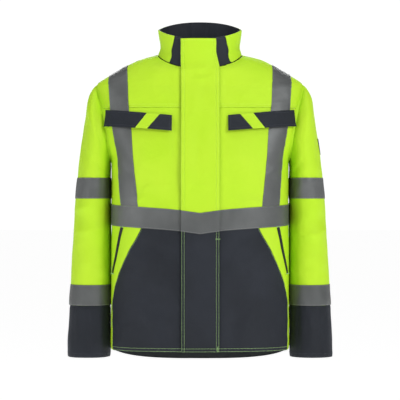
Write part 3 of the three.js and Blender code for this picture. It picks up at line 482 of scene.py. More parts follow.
RIGHT_SLEEVE_CREASES = [
    (29, -402, 146, -388, -3.6, 18, 4),
    (58, -462, 156, -478, -3.2, 18, -4),
    (282, -404, 380, -428, -3.6, 20, 4),
    (14, -140, 64, -262, -2.6, 13, 3),
    (38, -116, 90, -190, 2.8, 9, 4),
    (68, -120, 124, -226, -3.2, 9, 3),
    (54, -290, 148, -322, 2.2, 10, -4),
    (84, -250, 166, -290, -2.2, 10, 3),
    (16, -378, 110, -364, 2.4, 8, 3),
    (30, -430, 146, -420, 2.6, 9, 4),
    (60, -506, 150, -496, 2.0, 10, 4),
    (100, -530, 176, -548, 1.8, 10, -3),
    (210, -310, 324, -344, -2.4, 14, 5),
    (236, -446, 352, -434, 2.4, 10, 4),
    (64, -618, 74, -724, 1.8, 9, 2),
    (100, -614, 96, -728, -2.0, 8, 2),
    (132, -616, 138, -728, 2.0, 8, -2),
    (256, -618, 262, -726, -1.8, 10, 3),
]


def sleeve_relief(side):
    rows = LEFT_SLEEVE_CREASES if side > 0 else RIGHT_SLEEVE_CREASES

    def relief(around, along, points):
        quarter = SLEEVE_ROUND * QUARTER
        turned = np.mod(around, 4.0) * quarter
        from_seam = turned - SLEEVE_SEAM["round"] * quarter
        seam = -SLEEVE_SEAM["dip"] * np.exp(-((from_seam / SLEEVE_SEAM["width"]) ** 2))
        swell = SIDE_SWELL["height"] * np.exp(-(((turned - 2 * quarter) / SIDE_SWELL["sleeve_reach"]) ** 2))
        across, up = np.sin(around * QUARTER) * SLEEVE_WAVE["round"], points[..., 2]
        wave = SLEEVE_WAVE["height"] * ripples(across, up, SLEEVE_WAVE["size"], 5 if side > 0 else 6)
        starts = np.clip(along / SLEEVE_WAVE["starts_over"], 0, 1)
        return starts * (creases(rows, turned, up) + (seam + swell) + wave) - SLEEVE_WAVE["settle"]
    return relief


print(len(LEFT_SLEEVE_CREASES), "creases on the left sleeve,", len(RIGHT_SLEEVE_CREASES), "on the right")

# %% [markdown]
# ## Raising a piece of cloth
# A piece of cloth is a grid of places on one of the surfaces, raised along the surface's normal.
# The normal is measured with small steps. Near its sewn edges the cloth dips into the seam and
# puckers a little, because the thread is tighter than the padding.

# %% The surfaces, and raising a grid from one
def surface(point, steps, limits, sign, relief):
    return {"point": point, "steps": steps, "limits": limits, "sign": sign, "relief": relief}


BODY = surface(body_point, (0.004, 0.6), (HEM, NECK), 1, body_relief)
COLLAR = surface(collar_point, (0.004, 0.6), (NECK, COLLAR_TOP), 1, collar_relief)
SLEEVES = {
    side: surface(
        lambda around, along, side=side: sleeve_point(side, around, along),
        (0.01, 0.8), (0.0, SLEEVE_RINGS["along"][-1]), side, sleeve_relief(side),
    )
    for side in (1, -1)
}


def normal_on(form, a, b):
    step_a, step_b = form["steps"]
    low, high = (np.clip(b + step, *form["limits"]) for step in (-step_b, step_b))
    along_a = form["point"](a + step_a, b) - form["point"](a - step_a, b)
    along_b = form["point"](a, high) - form["point"](a, low)
    normal = np.cross(along_a, along_b) * form["sign"]
    return normal / np.linalg.norm(normal, axis=-1, keepdims=True)


def raised(form, a, b, out=0.0, relief=1.0):
    points = form["point"](a, b)
    height = np.asarray(out) + relief * form["relief"](a, b, points)
    return points + normal_on(form, a, b) * height[..., None]


# %% Distances from a grid's edges, and the pull of its seams
def grid_lengths(points):
    """Distance of every point of a grid from its left, right, lower and upper edge, in mm."""
    across = np.linalg.norm(np.diff(points, axis=1), axis=-1)
    up = np.linalg.norm(np.diff(points, axis=0), axis=-1)
    left = np.pad(np.cumsum(across, axis=1), ((0, 0), (1, 0)))
    low = np.pad(np.cumsum(up, axis=0), ((1, 0), (0, 0)))
    return {"left": left, "right": left[:, -1:] - left, "low": low, "top": low[-1:] - low}


SEAM_DIP = 1.25
SEAM_WIDTH = 4.5
PUCKER = 0.42
PUCKER_WIDTH = 13.0
PUCKER_LENGTH = 17.0


def seam_pull(points, sewn, seed, dip=SEAM_DIP, pucker=PUCKER):
    far = grid_lengths(points)
    pull = np.zeros(points.shape[:2])
    for number, edge in enumerate(sewn):
        distance = far[edge]
        run = far["low"] if edge in ("left", "right") else far["left"]
        wave = ripples(run, np.zeros_like(run), PUCKER_LENGTH, seed * 7 + number, 4)
        pull -= dip * np.exp(-((distance / SEAM_WIDTH) ** 2))
        pull += pucker * (wave - 0.5) * np.exp(-distance / PUCKER_WIDTH)
    return pull


print("seams dip by", SEAM_DIP, "mm")

# %% [markdown]
# A wall of cloth has an outer skin, an inner skin and a rim, so it is closed and has a thickness,
# as the CAD solids do. Its UV map is the cloth laid flat, in metres, so a weave keeps its size
# wherever the piece bends.

# %% A closed wall from two grids
MM = 0.001
CLOTH = 2.2
grids = {}


def quads(rows, columns, wrapped):
    last = columns if wrapped else columns - 1
    row, column = np.meshgrid(np.arange(rows - 1), np.arange(last), indexing="ij")
    here = row * columns + column
    beside = row * columns + (column + 1) % columns
    return np.stack([here, beside, beside + columns, here + columns], axis=-1).reshape(-1, 4)


def wall(name, outer, inner, materials, wrapped=False):
    """A closed wall. materials are those of the outer skin and, second, of the inner one."""
    rows, columns = outer.shape[:2]
    count = rows * columns
    skin = quads(rows, columns, wrapped)
    rim = []
    last = columns if wrapped else columns - 1
    for start, flip in ((0, False), ((rows - 1) * columns, True)):
        here = start + np.arange(last)
        beside = start + (np.arange(last) + 1) % columns
        edge = np.stack([beside, here, here + count, beside + count], axis=-1)
        rim.append(edge[:, ::-1] if flip else edge)
    if not wrapped:
        for start, flip in ((0, False), (columns - 1, True)):
            here = start + np.arange(rows - 1) * columns
            edge = np.stack([here, here + columns, here + columns + count, here + count], axis=-1)
            rim.append(edge[:, ::-1] if flip else edge)
    faces = np.concatenate([skin, skin[:, ::-1] + count] + rim)
    points = np.concatenate([outer.reshape(-1, 3), inner.reshape(-1, 3)])
    a, b, c, d = (points[faces[:, i]] for i in range(4))
    volume = sum(np.einsum("ij,ij->i", a, np.cross(*pair)).sum() for pair in ((b, c), (c, d)))
    if volume < 0:
        faces = faces[:, ::-1]
    mesh = bpy.data.meshes.new(name)
    mesh.from_pydata((points * MM).tolist(), [], faces.tolist())
    far = grid_lengths(outer)
    middle = (far["left"] - far["left"][:, -1:] / 2)
    flat = np.stack([middle, far["low"]], axis=-1).reshape(-1, 2) * MM
    flat = np.concatenate([flat, flat])
    uv = mesh.uv_layers.new(name="flat")
    loop_points = np.empty(len(mesh.loops), dtype=np.int32)
    mesh.loops.foreach_get("vertex_index", loop_points)
    uv.data.foreach_set("uv", flat[loop_points].astype(np.float32).ravel())
    for material in materials:
        mesh.materials.append(material)
    inside = np.zeros(len(faces), dtype=np.int32)
    if len(materials) > 1:
        inside[len(skin):2 * len(skin)] = 1
    mesh.polygons.foreach_set("material_index", inside)
    mesh.polygons.foreach_set("use_smooth", np.ones(len(faces), dtype=bool))
    mesh.set_sharp_from_angle(angle=math.radians(50))
    mesh.update()
    piece = bpy.data.objects.new(name, mesh)
    bpy.context.scene.collection.objects.link(piece)
    out = outer - inner
    out /= np.linalg.norm(out, axis=-1, keepdims=True)
    grids[name] = {"outer": outer, "out": out, "wrapped": wrapped}
    return piece


print("walls are", CLOTH, "mm thick")

# %% [markdown]
# ## Cloth, tape and thread
# The yellow is a fluorescent polyester with a fine plain weave, the navy a polyester twill, and
# the tape is grey cloth set with glass beads. What they share is made once, as node groups: a
# weave, a slow change of tone and a crumple, which all give only colours and heights. The shader
# stays in each material. The weave reads the cloth's own flat map, the slow changes read the
# object's coordinates.

# %% Helpers for node groups
def node_group(name, inputs, outputs):
    group = bpy.data.node_groups.new(name, "ShaderNodeTree")
    for direction, sockets in (("INPUT", inputs), ("OUTPUT", outputs)):
        for title, kind, default in sockets:
            socket = group.interface.new_socket(name=title, in_out=direction, socket_type=kind)
            if default is not None:
                socket.default_value = default
    return group, group.nodes.new("NodeGroupInput"), group.nodes.new("NodeGroupOutput")


def math_node(tree, operation, first, second=None):
    node = tree.nodes.new("ShaderNodeMath")
    node.operation = operation
    for socket, value in zip(node.inputs, (first, second)):
        if value is None:
            continue
        if isinstance(value, (int, float)):
            socket.default_value = value
        else:
            tree.links.new(value, socket)
    return node.outputs[0]


# %% The weave group
weave, given, result = node_group(
    "weave",
    [("Flat", "NodeSocketVector", None), ("Threads", "NodeSocketFloat", 900.0),
     ("Slant", "NodeSocketFloat", 0.0)],
    [("Height", "NodeSocketFloat", None)],
)
split = weave.nodes.new("ShaderNodeSeparateXYZ")
weave.links.new(given.outputs["Flat"], split.inputs[0])
turned = math_node(weave, "MULTIPLY", given.outputs["Threads"], 2 * math.pi)
warp = math_node(weave, "MULTIPLY", split.outputs["X"], turned)
weft = math_node(weave, "MULTIPLY", split.outputs["Y"], turned)
slanted = math_node(weave, "MULTIPLY", weft, given.outputs["Slant"])
over = math_node(weave, "SINE", math_node(weave, "ADD", warp, slanted))
under = math_node(weave, "SINE", weft)
crossed = math_node(weave, "ADD", over, math_node(weave, "MULTIPLY", under, 0.6))
weave.links.new(math_node(weave, "MULTIPLY", crossed, 0.5), result.inputs["Height"])
print("weave group made")

# %% The tone group
tone, given, result = node_group(
    "tone",
    [("Place", "NodeSocketVector", None), ("Colour", "NodeSocketColor", None),
     ("Other", "NodeSocketColor", None), ("Size", "NodeSocketFloat", 9.0)],
    [("Colour", "NodeSocketColor", None)],
)
patches = tone.nodes.new("ShaderNodeTexNoise")
patches.inputs["Detail"].default_value = 4.0
tone.links.new(given.outputs["Place"], patches.inputs["Vector"])
tone.links.new(given.outputs["Size"], patches.inputs["Scale"])
spread = tone.nodes.new("ShaderNodeMapRange")
spread.inputs["From Min"].default_value = 0.35
spread.inputs["From Max"].default_value = 0.68
tone.links.new(patches.outputs["Fac"], spread.inputs["Value"])
blend = tone.nodes.new("ShaderNodeMix")
blend.data_type = "RGBA"
tone.links.new(spread.outputs[0], blend.inputs["Factor"])
tone.links.new(given.outputs["Colour"], blend.inputs[6])
tone.links.new(given.outputs["Other"], blend.inputs[7])
tone.links.new(blend.outputs[2], result.inputs["Colour"])
print("tone group made")

# %% The crumple group
crumple, given, result = node_group(
    "crumple",
    [("Place", "NodeSocketVector", None), ("Size", "NodeSocketFloat", 24.0)],
    [("Height", "NodeSocketFloat", None)],
)
folds = crumple.nodes.new("ShaderNodeTexNoise")
folds.inputs["Detail"].default_value = 3.0
folds.inputs["Distortion"].default_value = 0.6
crumple.links.new(given.outputs["Place"], folds.inputs["Vector"])
crumple.links.new(given.outputs["Size"], folds.inputs["Scale"])
crumple.links.new(folds.outputs["Fac"], result.inputs["Height"])
print("crumple group made")

# %% A cloth material from the three groups
def add_group(tree, group, **values):
    node = tree.nodes.new("ShaderNodeGroup")
    node.node_tree = group
    for title, value in values.items():
        node.inputs[title].default_value = value
    return node


def cloth_material(name, colour, other, *, roughness, threads, slant, weave_depth, crumple_depth, sheen=0.0,
                   metallic=0.0, sheen_colour=(1.0, 1.0, 1.0)):
    material = new_material(name)
    tree = material.node_tree
    shader = tree.nodes["Principled BSDF"]
    shader.inputs["Roughness"].default_value = roughness
    shader.inputs["Metallic"].default_value = metallic
    shader.inputs["Sheen Weight"].default_value = sheen
    shader.inputs["Sheen Roughness"].default_value = 0.45
    shader.inputs["Sheen Tint"].default_value = (*sheen_colour, 1.0)
    shader.inputs["Specular IOR Level"].default_value = 0.3
    place = tree.nodes.new("ShaderNodeTexCoord")
    flat = tree.nodes.new("ShaderNodeUVMap")
    flat.uv_map = "flat"
    tones = add_group(tree, tone, Colour=(*colour, 1.0), Other=(*other, 1.0))
    tree.links.new(place.outputs["Object"], tones.inputs["Place"])
    tree.links.new(tones.outputs["Colour"], shader.inputs["Base Color"])
    threads_node = add_group(tree, weave, Threads=threads, Slant=slant)
    tree.links.new(flat.outputs["UV"], threads_node.inputs["Flat"])
    soft = add_group(tree, crumple)
    tree.links.new(place.outputs["Object"], soft.inputs["Place"])
    broad = tree.nodes.new("ShaderNodeBump")
    broad.inputs["Distance"].default_value = crumple_depth
    tree.links.new(soft.outputs["Height"], broad.inputs["Height"])
    fine = tree.nodes.new("ShaderNodeBump")
    fine.inputs["Distance"].default_value = weave_depth
    fine.inputs["Strength"].default_value = 0.6
    tree.links.new(threads_node.outputs["Height"], fine.inputs["Height"])
    tree.links.new(broad.outputs["Normal"], fine.inputs["Normal"])
    tree.links.new(fine.outputs["Normal"], shader.inputs["Normal"])
    return material


# %% The cloths
YELLOW = (0.46, 0.72, 0.018)
NAVY = (0.008, 0.0105, 0.016)
yellow_cloth = cloth_material(
    "hi_vis_yellow_cloth", YELLOW, (0.43, 0.71, 0.012), roughness=0.62, threads=1100, slant=0.0,
    weave_depth=0.0001, crumple_depth=0.0022)
navy_twill = cloth_material(
    "navy_twill", NAVY, (0.014, 0.0175, 0.026), roughness=0.66, threads=900, slant=1.0,
    weave_depth=0.00016, crumple_depth=0.0022, sheen=0.06, sheen_colour=(0.55, 0.62, 0.8))
dark_lining = cloth_material(
    "dark_lining", (0.006, 0.009, 0.011), (0.009, 0.013, 0.013), roughness=0.55, threads=1300, slant=0.0,
    weave_depth=0.00008, crumple_depth=0.003)
tape_cloth = cloth_material(
    "reflective_tape", (0.095, 0.1, 0.1), (0.13, 0.136, 0.136), roughness=0.42, threads=1500, slant=0.5,
    weave_depth=0.00006, crumple_depth=0.0016, metallic=0.35)
zip_tape = cloth_material(
    "zip_tape", (0.010, 0.012, 0.016), (0.014, 0.017, 0.021), roughness=0.6, threads=1400, slant=1.0,
    weave_depth=0.0001, crumple_depth=0.0004)
print("cloths:", [m.name for m in (yellow_cloth, navy_twill, dark_lining, tape_cloth, zip_tape)])

# %% Threads and metal
def plain_material(name, colour, roughness, metallic=0.0, grain=900.0):
    """Thread, coil or metal: one colour with a fine grain in its roughness."""
    material = new_material(name)
    tree = material.node_tree
    shader = tree.nodes["Principled BSDF"]
    shader.inputs["Base Color"].default_value = (*colour, 1.0)
    shader.inputs["Metallic"].default_value = metallic
    place = tree.nodes.new("ShaderNodeTexCoord")
    noise = tree.nodes.new("ShaderNodeTexNoise")
    noise.inputs["Scale"].default_value = grain
    spread = tree.nodes.new("ShaderNodeMapRange")
    spread.inputs["To Min"].default_value = roughness - 0.08
    spread.inputs["To Max"].default_value = roughness + 0.08
    tree.links.new(place.outputs["Object"], noise.inputs["Vector"])
    tree.links.new(noise.outputs["Fac"], spread.inputs["Value"])
    tree.links.new(spread.outputs[0], shader.inputs["Roughness"])
    return material


thread = {
    "green": plain_material("pale_green_thread", (0.38, 0.62, 0.22), 0.6),
    "yellow": plain_material("yellow_thread", (0.62, 0.86, 0.10), 0.6),
    "grey": plain_material("grey_thread", (0.30, 0.31, 0.31), 0.6),
    "navy": plain_material("navy_thread", (0.035, 0.042, 0.06), 0.6),
}
coil_plastic = plain_material("zip_coil", (0.022, 0.025, 0.03), 0.4, grain=400.0)
slider_metal = plain_material("slider_metal", (0.30, 0.31, 0.32), 0.34, metallic=1.0, grain=250.0)
print(len(thread), "threads, a coil and a metal")

# %% [markdown]
# ## Cutting the panels
# A maker cuts flat panels and sews them into the body. Here each panel is a grid of rows that run
# from its left edge to its right edge in turn and height, so neighbours meet in the same seam.
# Each piece stands for the CAD node of its name and rides on the one body. Its cut is measured
# from its own outer skin.

# %% Helpers for panels
STEP = 4.5
SEAM_GAP = 0.3
HALF_GAP = SEAM_GAP / 2
QUARTER_RING = 206
GAP_TURNS = HALF_GAP / QUARTER_RING
ARMHOLE_SEAM_TURNS = 0.003
FRONT_YOKE_SEAM, BACK_YOKE_SEAM = -133.0, -128.0
WAIST_SIDE, WAIST_FLAP_EDGE, WAIST_CENTRE = -387.0, -403.0, -409.5
WAIST_POWER, WAIST_SIDE_OUT = 0.8, 213.0
FRONT_EDGE = 6.0


def lerp(start, end, share):
    return start + (end - start) * share


def between(left, right, columns):
    """Rows of turn and height from each spot of the left edge to that of the right edge."""
    share = np.linspace(0, 1, columns + 1)[None, :]
    left, right = np.asarray(left, float), np.asarray(right, float)
    return tuple(lerp(left[:, i, None], right[:, i, None], share) for i in (0, 1))


def edge_line(turn, height):
    turn, height = np.broadcast_arrays(np.asarray(turn, float), np.asarray(height, float))
    return np.stack([turn, height], axis=-1)


def joined(*lines):
    """Edge lines one after the other, each without the spot that it shares with the one before."""
    return np.concatenate([lines[0]] + [line[1:] for line in lines[1:]])


def waist_height(turn):
    around = np.where(np.abs(turn) > 2, 4 - np.abs(turn), np.abs(turn))
    return lerp(WAIST_CENTRE, WAIST_SIDE, np.minimum(around, 1.0) ** WAIST_POWER)


def meet_waist(turn, height, row, drop, fade=6):
    """Bends the last rows of a grid so that its edge lies just above or below the waist seam."""
    gap = waist_height(turn[row]) + drop - height[row]
    step = 1 if row == 0 else -1
    for i in range(fade):
        height[row + step * i] += gap * (1 - i / fade)
    return height


def front_edge(height):
    turn, _ = spot_seen(BODY_RINGS, FRONT_EDGE, body_point(0, height)[..., 2])
    return edge_line(np.abs(turn), height)


def cloth_area(points, wrapped=False):
    if wrapped:
        points = np.concatenate([points, points[:, :1]], axis=1)
    a, b, c, d = points[:-1, :-1], points[:-1, 1:], points[1:, 1:], points[1:, :-1]
    first = np.linalg.norm(np.cross(b - a, c - a), axis=-1).sum()
    return (first + np.linalg.norm(np.cross(c - a, d - a), axis=-1).sum()) / 2


cuts = {}


def finish_piece(node, outer, inner, materials, wrapped=False):
    piece = wall("cloth_" + node, outer, inner, materials, wrapped)
    across = outer if not wrapped else np.concatenate([outer, outer[:, :1]], axis=1)
    width = np.linalg.norm(np.diff(across, axis=1), axis=-1).sum(axis=1).max() * MM
    length = np.linalg.norm(np.diff(outer, axis=0), axis=-1).sum(axis=0).max() * MM
    area = cloth_area(outer, wrapped) * MM * MM
    cuts[node] = (round(float(width), 3), round(float(length), 3), round(float(area), 4))
    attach(piece, "root")
    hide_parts(node)
    print(node, "cut", cuts[node])
    return piece


def panel(node, form, spots, materials, out=0.0, thick=CLOTH, seed=1,
          sewn=("left", "right", "low", "top"), dip=SEAM_DIP, pucker=PUCKER, relief=1.0):
    turn, height = spots
    bare = form["point"](turn, height)
    pull = seam_pull(bare, sewn, seed, dip, pucker)
    outer = raised(form, turn, height, out + pull, relief)
    inner = raised(form, turn, height, out - thick + 0.3 * pull, relief)
    return finish_piece(node, outer, inner, materials)


def on_side(side, spots):
    return side * spots[0], spots[1]


SIDES = ((1, "left"), (-1, "right"))
yellow_skin, navy_skin = [yellow_cloth, dark_lining], [navy_twill, dark_lining]
print("panel helpers ready, grids about", STEP, "mm fine")

# %% Front chest and front yoke
def armhole_line(first, last, count):
    around = np.linspace(first, last, count)
    return edge_line(*armhole_spot(1, around, True))


seam_round = math.acos((FRONT_YOKE_SEAM - ARMHOLE_MIDDLE) / ARMHOLE_HALF) / QUARTER
chest_side = joined(
    edge_line(1 - GAP_TURNS, np.linspace(WAIST_SIDE, UNDERARM - ARMHOLE["gap"], 29)),
    armhole_line(2, seam_round + ARMHOLE_SEAM_TURNS, 38),
)
chest_edge = front_edge(joined(
    np.linspace(WAIST_CENTRE, UNDERARM, 29), np.linspace(UNDERARM, FRONT_YOKE_SEAM - HALF_GAP, 38),
))
yoke_side = joined(
    armhole_line(seam_round - ARMHOLE_SEAM_TURNS, 0, 24),
    edge_line(1 - GAP_TURNS, np.linspace(SHOULDER_TIP, NECK - SEAM_GAP, 32)),
)
yoke_side[23, 0] = 1 - GAP_TURNS
yoke_edge = front_edge(joined(
    np.linspace(FRONT_YOKE_SEAM + HALF_GAP, SHOULDER_TIP, 24), np.linspace(SHOULDER_TIP, NECK - SEAM_GAP, 32),
))
for side, word in SIDES:
    turn, height = between(chest_edge, chest_side, 58)
    height = meet_waist(turn, height, 0, HALF_GAP)
    panel(f"front_chest_{word}", BODY, on_side(side, (turn, height)), yellow_skin,
          seed=2 + side)
    panel(f"front_yoke_{word}", BODY, on_side(side, between(yoke_edge, yoke_side, 58)), yellow_skin,
          seed=12 + side)

# %% [markdown]
# The navy lower fronts are arched: they are narrow at the waist seam and reach the side at the
# hem. The yellow side panel fills what is left between the arches of the front and the back, so
# its grid runs from one arch to the other through the very side.

# %% Lower panels and sides
ARCH_ROWS = 9
ARCH = {"waist_turn": 0.515, "back_turn": 1.5, "waist_out": 128, "side_out": 212, "top": -398, "bottom": -615,
        "power": 1.1}


def arch_line(front, rows, shift):
    """The arch's edge from the hem to the waist seam, moved by a share of a turn."""
    top = ARCH["top"] if front else WAIST_SIDE
    share = np.linspace(0, 1, ARCH_ROWS + 1)
    height = lerp(HEM, top, share)
    rise = np.clip((ARCH["top"] - height) / (ARCH["top"] - ARCH["bottom"]), 0, 1)
    out = lerp(ARCH["waist_out"], ARCH["side_out"], np.sin(rise * QUARTER) ** ARCH["power"])
    z = height if front else body_point(2, height)[..., 2]
    turn, _ = spot_seen(BODY_RINGS, out, z, front)
    turn[-1] = ARCH["waist_turn"] if front else ARCH["back_turn"]
    fine = np.linspace(0, 1, rows)
    coarse = {"share": share, "turn": turn}
    return edge_line(along_table(coarse, "share", fine)["turn"] + shift, lerp(HEM, top, fine))


LOWER_ROWS = 74
for side, word in SIDES:
    centre = front_edge(np.linspace(HEM, WAIST_CENTRE, LOWER_ROWS))
    spots = between(centre, arch_line(True, LOWER_ROWS, -GAP_TURNS), 50)
    height = meet_waist(*spots, -1, -HALF_GAP)
    panel(f"front_lower_{word}", BODY, on_side(side, (spots[0], height)), navy_skin,
          seed=22 + side)
    front, back = arch_line(True, LOWER_ROWS, GAP_TURNS), arch_line(False, LOWER_ROWS, -GAP_TURNS)
    middle = edge_line(1.0, (front[:, 1] + back[:, 1]) / 2)
    middle[-1, 1] = WAIST_SIDE
    halves = between(front, middle, 22), between(middle, back, 22)
    turn, height = (np.concatenate([halves[0][i], halves[1][i][:, 1:]], axis=1) for i in (0, 1))
    height = meet_waist(turn, height, -1, -HALF_GAP)
    panel(f"side_{word}", BODY, on_side(side, (turn, height)), yellow_skin,
          seed=32 + side)

# %% The back: upper panel, yoke and lower panel
def mirrored(line):
    return np.stack([4 - line[:, 0], line[:, 1]], axis=-1)


back_round = 4 - math.acos((BACK_YOKE_SEAM - ARMHOLE_MIDDLE) / ARMHOLE_HALF) / QUARTER
upper_side = joined(
    edge_line(1 + GAP_TURNS, np.linspace(WAIST_SIDE + HALF_GAP, UNDERARM - ARMHOLE["gap"], 29)),
    armhole_line(2, back_round - ARMHOLE_SEAM_TURNS, 40),
)
panel("back_upper", BODY, between(upper_side, mirrored(upper_side), 116), yellow_skin,
      seed=41)
back_yoke_side = joined(
    armhole_line(back_round + ARMHOLE_SEAM_TURNS, 4, 20),
    edge_line(1 + GAP_TURNS, np.linspace(SHOULDER_TIP, NECK - SEAM_GAP, 32)),
)
back_yoke_side[19, 0] = 1 + GAP_TURNS
panel("back_yoke", BODY, between(back_yoke_side, mirrored(back_yoke_side), 116), yellow_skin,
      seed=42)
back_arch = arch_line(False, LOWER_ROWS, GAP_TURNS)
turn, height = between(back_arch, mirrored(back_arch), 100)
height = meet_waist(turn, height, -1, -HALF_GAP)
panel("back_lower", BODY, (turn, height), navy_skin, seed=43)

# %% [markdown]
# ## Collar
# The stand collar is yellow behind and has a navy insert on each side of the front. Inside it is
# navy all round, in one piece whose grid follows that of the outer pieces.

# %% Collar pieces
INSERT = {"seam_out": 75, "top_out": 61}
COLLAR_SEAM_TURNS = 0.003
COLLAR_ROWS = 16
collar_heights = np.linspace(NECK + SEAM_GAP, COLLAR_TOP, COLLAR_ROWS)


def collar_line(bottom_x, top_x, shift):
    x = lerp(bottom_x, top_x, collar_heights / COLLAR_TOP)
    turn, _ = spot_seen(COLLAR_RINGS, x, collar_point(0, collar_heights)[..., 2])
    return edge_line(np.abs(turn) + shift, collar_heights)


def flipped(line):
    return np.stack([-line[:, 0], line[:, 1]], axis=-1)


collar_front = collar_line(FRONT_EDGE, FRONT_EDGE, 0)
insert_line = collar_line(INSERT["seam_out"], INSERT["top_out"], -COLLAR_SEAM_TURNS)
behind_line = collar_line(INSERT["seam_out"], INSERT["top_out"], COLLAR_SEAM_TURNS)
panel("collar_insert_left", COLLAR, between(collar_front, insert_line, 17), navy_skin,
      seed=51, dip=0.8)
panel("collar_insert_right", COLLAR, between(flipped(collar_front), flipped(insert_line), 17), navy_skin,
      seed=52, dip=0.8)
panel("collar_outer", COLLAR, between(behind_line, mirrored(behind_line), 104), yellow_skin,
      seed=53, dip=0.8)

# %% Inner collar, with soft upright creases where it bends
turns = np.concatenate([
    between(collar_front, insert_line, 17)[0][:, :-1],
    between(behind_line, mirrored(behind_line), 104)[0],
    between(mirrored(insert_line), mirrored(collar_front), 17)[0][:, 1:],
], axis=1)
heights = np.repeat(collar_heights[:, None], turns.shape[1], axis=1)
# A row gives the crease's place and its width in turns, and its height.
INNER_CREASES = [
    (1.68, 0.035, 1.6), (1.84, 0.03, -1.2), (2.16, 0.03, 1.3), (2.36, 0.04, 1.7), (2.62, 0.05, -1.2),
    (1.36, 0.05, 1.4), (1.1, 0.05, -1.0), (2.9, 0.05, 1.2), (3.3, 0.06, 1.0), (0.7, 0.06, 1.2),
]
inward = sum(depth * np.exp(-(((turns - place) / width) ** 2)) for place, width, depth in INNER_CREASES)
inward = inward * np.sin(np.clip(heights / COLLAR_TOP, 0, 1) * 2.6)
outer = raised(COLLAR, turns, heights, -CLOTH - SEAM_GAP, 0.3)
inner = raised(COLLAR, turns, heights, -2 * CLOTH - SEAM_GAP - np.maximum(inward, -1.4), 0.3)
finish_piece("collar_inner", outer, inner, [navy_twill])

# %% [markdown]
# ## Sleeves and cuffs
# A sleeve is a tube that starts at the armhole. Its columns run round it, its rows down it, and
# the last row is level at the cuff seam. The cuff goes on from there, and two tapes and the
# plain patch lie on it, made from the same surface, further out.

# %% Sleeves, cuffs and sleeve tapes
SLEEVE_SIDES = 104
UPPER_SLEEVE_TAPE, LOWER_SLEEVE_TAPE = -350.4, -608.6
TAPE_WIDTH, TAPE_FLOOR, TAPE_TOP = 50.0, 0.6, 1.4
around = np.linspace(0, 4, SLEEVE_SIDES + 1)[:-1]


SEAM_ALLOWANCE = {"turns": 0.012, "height": 4.0, "under": 2.6, "thick": 1.6}


def seam_allowance(side):
    """The sleeve's own cloth, turned in under the body round the armhole: outer and inner row."""
    turn, height = armhole_spot(side, around, True)
    s, c = np.sin(around * QUARTER), np.cos(around * QUARTER)
    turn, height = turn - side * SEAM_ALLOWANCE["turns"] * s, height + SEAM_ALLOWANCE["height"] * c
    under = SEAM_ALLOWANCE["under"]
    return [raised(BODY, turn, height, -depth)[None] for depth in (under, under + SEAM_ALLOWANCE["thick"])]


def tube(node, side, along, materials, out=0.0, thick=CLOTH, dip=SEAM_DIP, pucker=PUCKER,
         seed=1, allowance=False):
    form = SLEEVES[side]
    turned = np.repeat(around[None, :], len(along), axis=0)
    bare = form["point"](turned, along)
    pull = seam_pull(bare, ("low", "top"), seed, dip, pucker)
    outer = raised(form, turned, along, out + pull)
    inner = raised(form, turned, along, out - thick + 0.3 * pull)
    if allowance:
        outer, inner = (np.concatenate(rows) for rows in zip(seam_allowance(side), (outer, inner)))
    return finish_piece(node, outer, inner, materials, wrapped=True)


def sleeve_rows(side, high, low, count):
    ends = [sleeve_place(side, around, z) if z is not None else np.zeros(SLEEVE_SIDES) for z in (high, low)]
    return lerp(ends[0][None, :], ends[1][None, :], np.linspace(0, 1, count)[:, None])


for side, word in SIDES:
    tube(f"sleeve_{word}", side, sleeve_rows(side, None, CUFF_SEAM + HALF_GAP, 104), yellow_skin,
         seed=61 + side, allowance=True)
    tube(f"cuff_{word}", side, sleeve_rows(side, CUFF_SEAM - HALF_GAP, SLEEVE_END, 30), navy_skin,
         seed=64 + side)
    for low, place in ((UPPER_SLEEVE_TAPE, "upper"), (LOWER_SLEEVE_TAPE, "lower")):
        tube(f"sleeve_tape_{place}_{word}", side, sleeve_rows(side, low + TAPE_WIDTH, low, 13), [tape_cloth],
             out=TAPE_TOP, thick=TAPE_TOP - TAPE_FLOOR, dip=0.25,
             pucker=0.3, seed=67 + side)

# %% The plain patch on the left sleeve
PATCH = {"high": -205, "low": -244, "half_turn": 0.2}
patch_height = np.linspace(PATCH["low"], PATCH["high"], 11)[:, None]
patch_turn = np.linspace(-PATCH["half_turn"], PATCH["half_turn"], 11)[None, :]
patch_turn, patch_height = np.broadcast_arrays(patch_turn, patch_height)
patch_along = sleeve_place(1, patch_turn, patch_height)
panel("sleeve_patch", SLEEVES[1], (patch_turn, patch_along), [navy_twill],
      out=TAPE_TOP, thick=TAPE_TOP - TAPE_FLOOR, dip=0.3, pucker=0.1, seed=71)

# %% [markdown]
# ## Storm flap and zip
# The storm flap is sewn on the wearer's left of the zip and closes over it to the right. Its
# free edge is padded and stands off, so it throws the dark line beside it. It crosses the neck
# seam, so its rows run by height on the body, then on the collar, with a smooth bridge between.

# %% Helpers for strips on the front
FLAP_FREE_EDGE, FLAP_SEWN_EDGE, FLAP_COLLAR_SEWN_EDGE = -44.5, 46.0, 38.0
FLAP_FLOOR, FLAP_STAND_OFF, NECK_CLEAR = 1.9, 1.8, 8.0
NECK_FRONT = float(body_point(0, NECK)[2])
COLLAR_FRONT = float(collar_point(0, COLLAR_TOP)[2])
HEM_FRONT = float(body_point(0, HEM)[2])


def bridge(lower, upper, count):
    """The lower rows and the upper ones with smooth rows between them."""
    gap = np.linalg.norm(upper[0] - lower[-1], axis=-1, keepdims=True)
    ways = (lower[-1] - lower[-2], upper[1] - upper[0])
    way = [rows / np.linalg.norm(rows, axis=-1, keepdims=True) * gap for rows in ways]
    share = np.linspace(0, 1, count + 2)[1:-1, None, None]
    between_them = hermite(lower[-1][None], upper[0][None], way[0][None], way[1][None], 1.0, share)
    return np.concatenate([lower, between_them, upper])


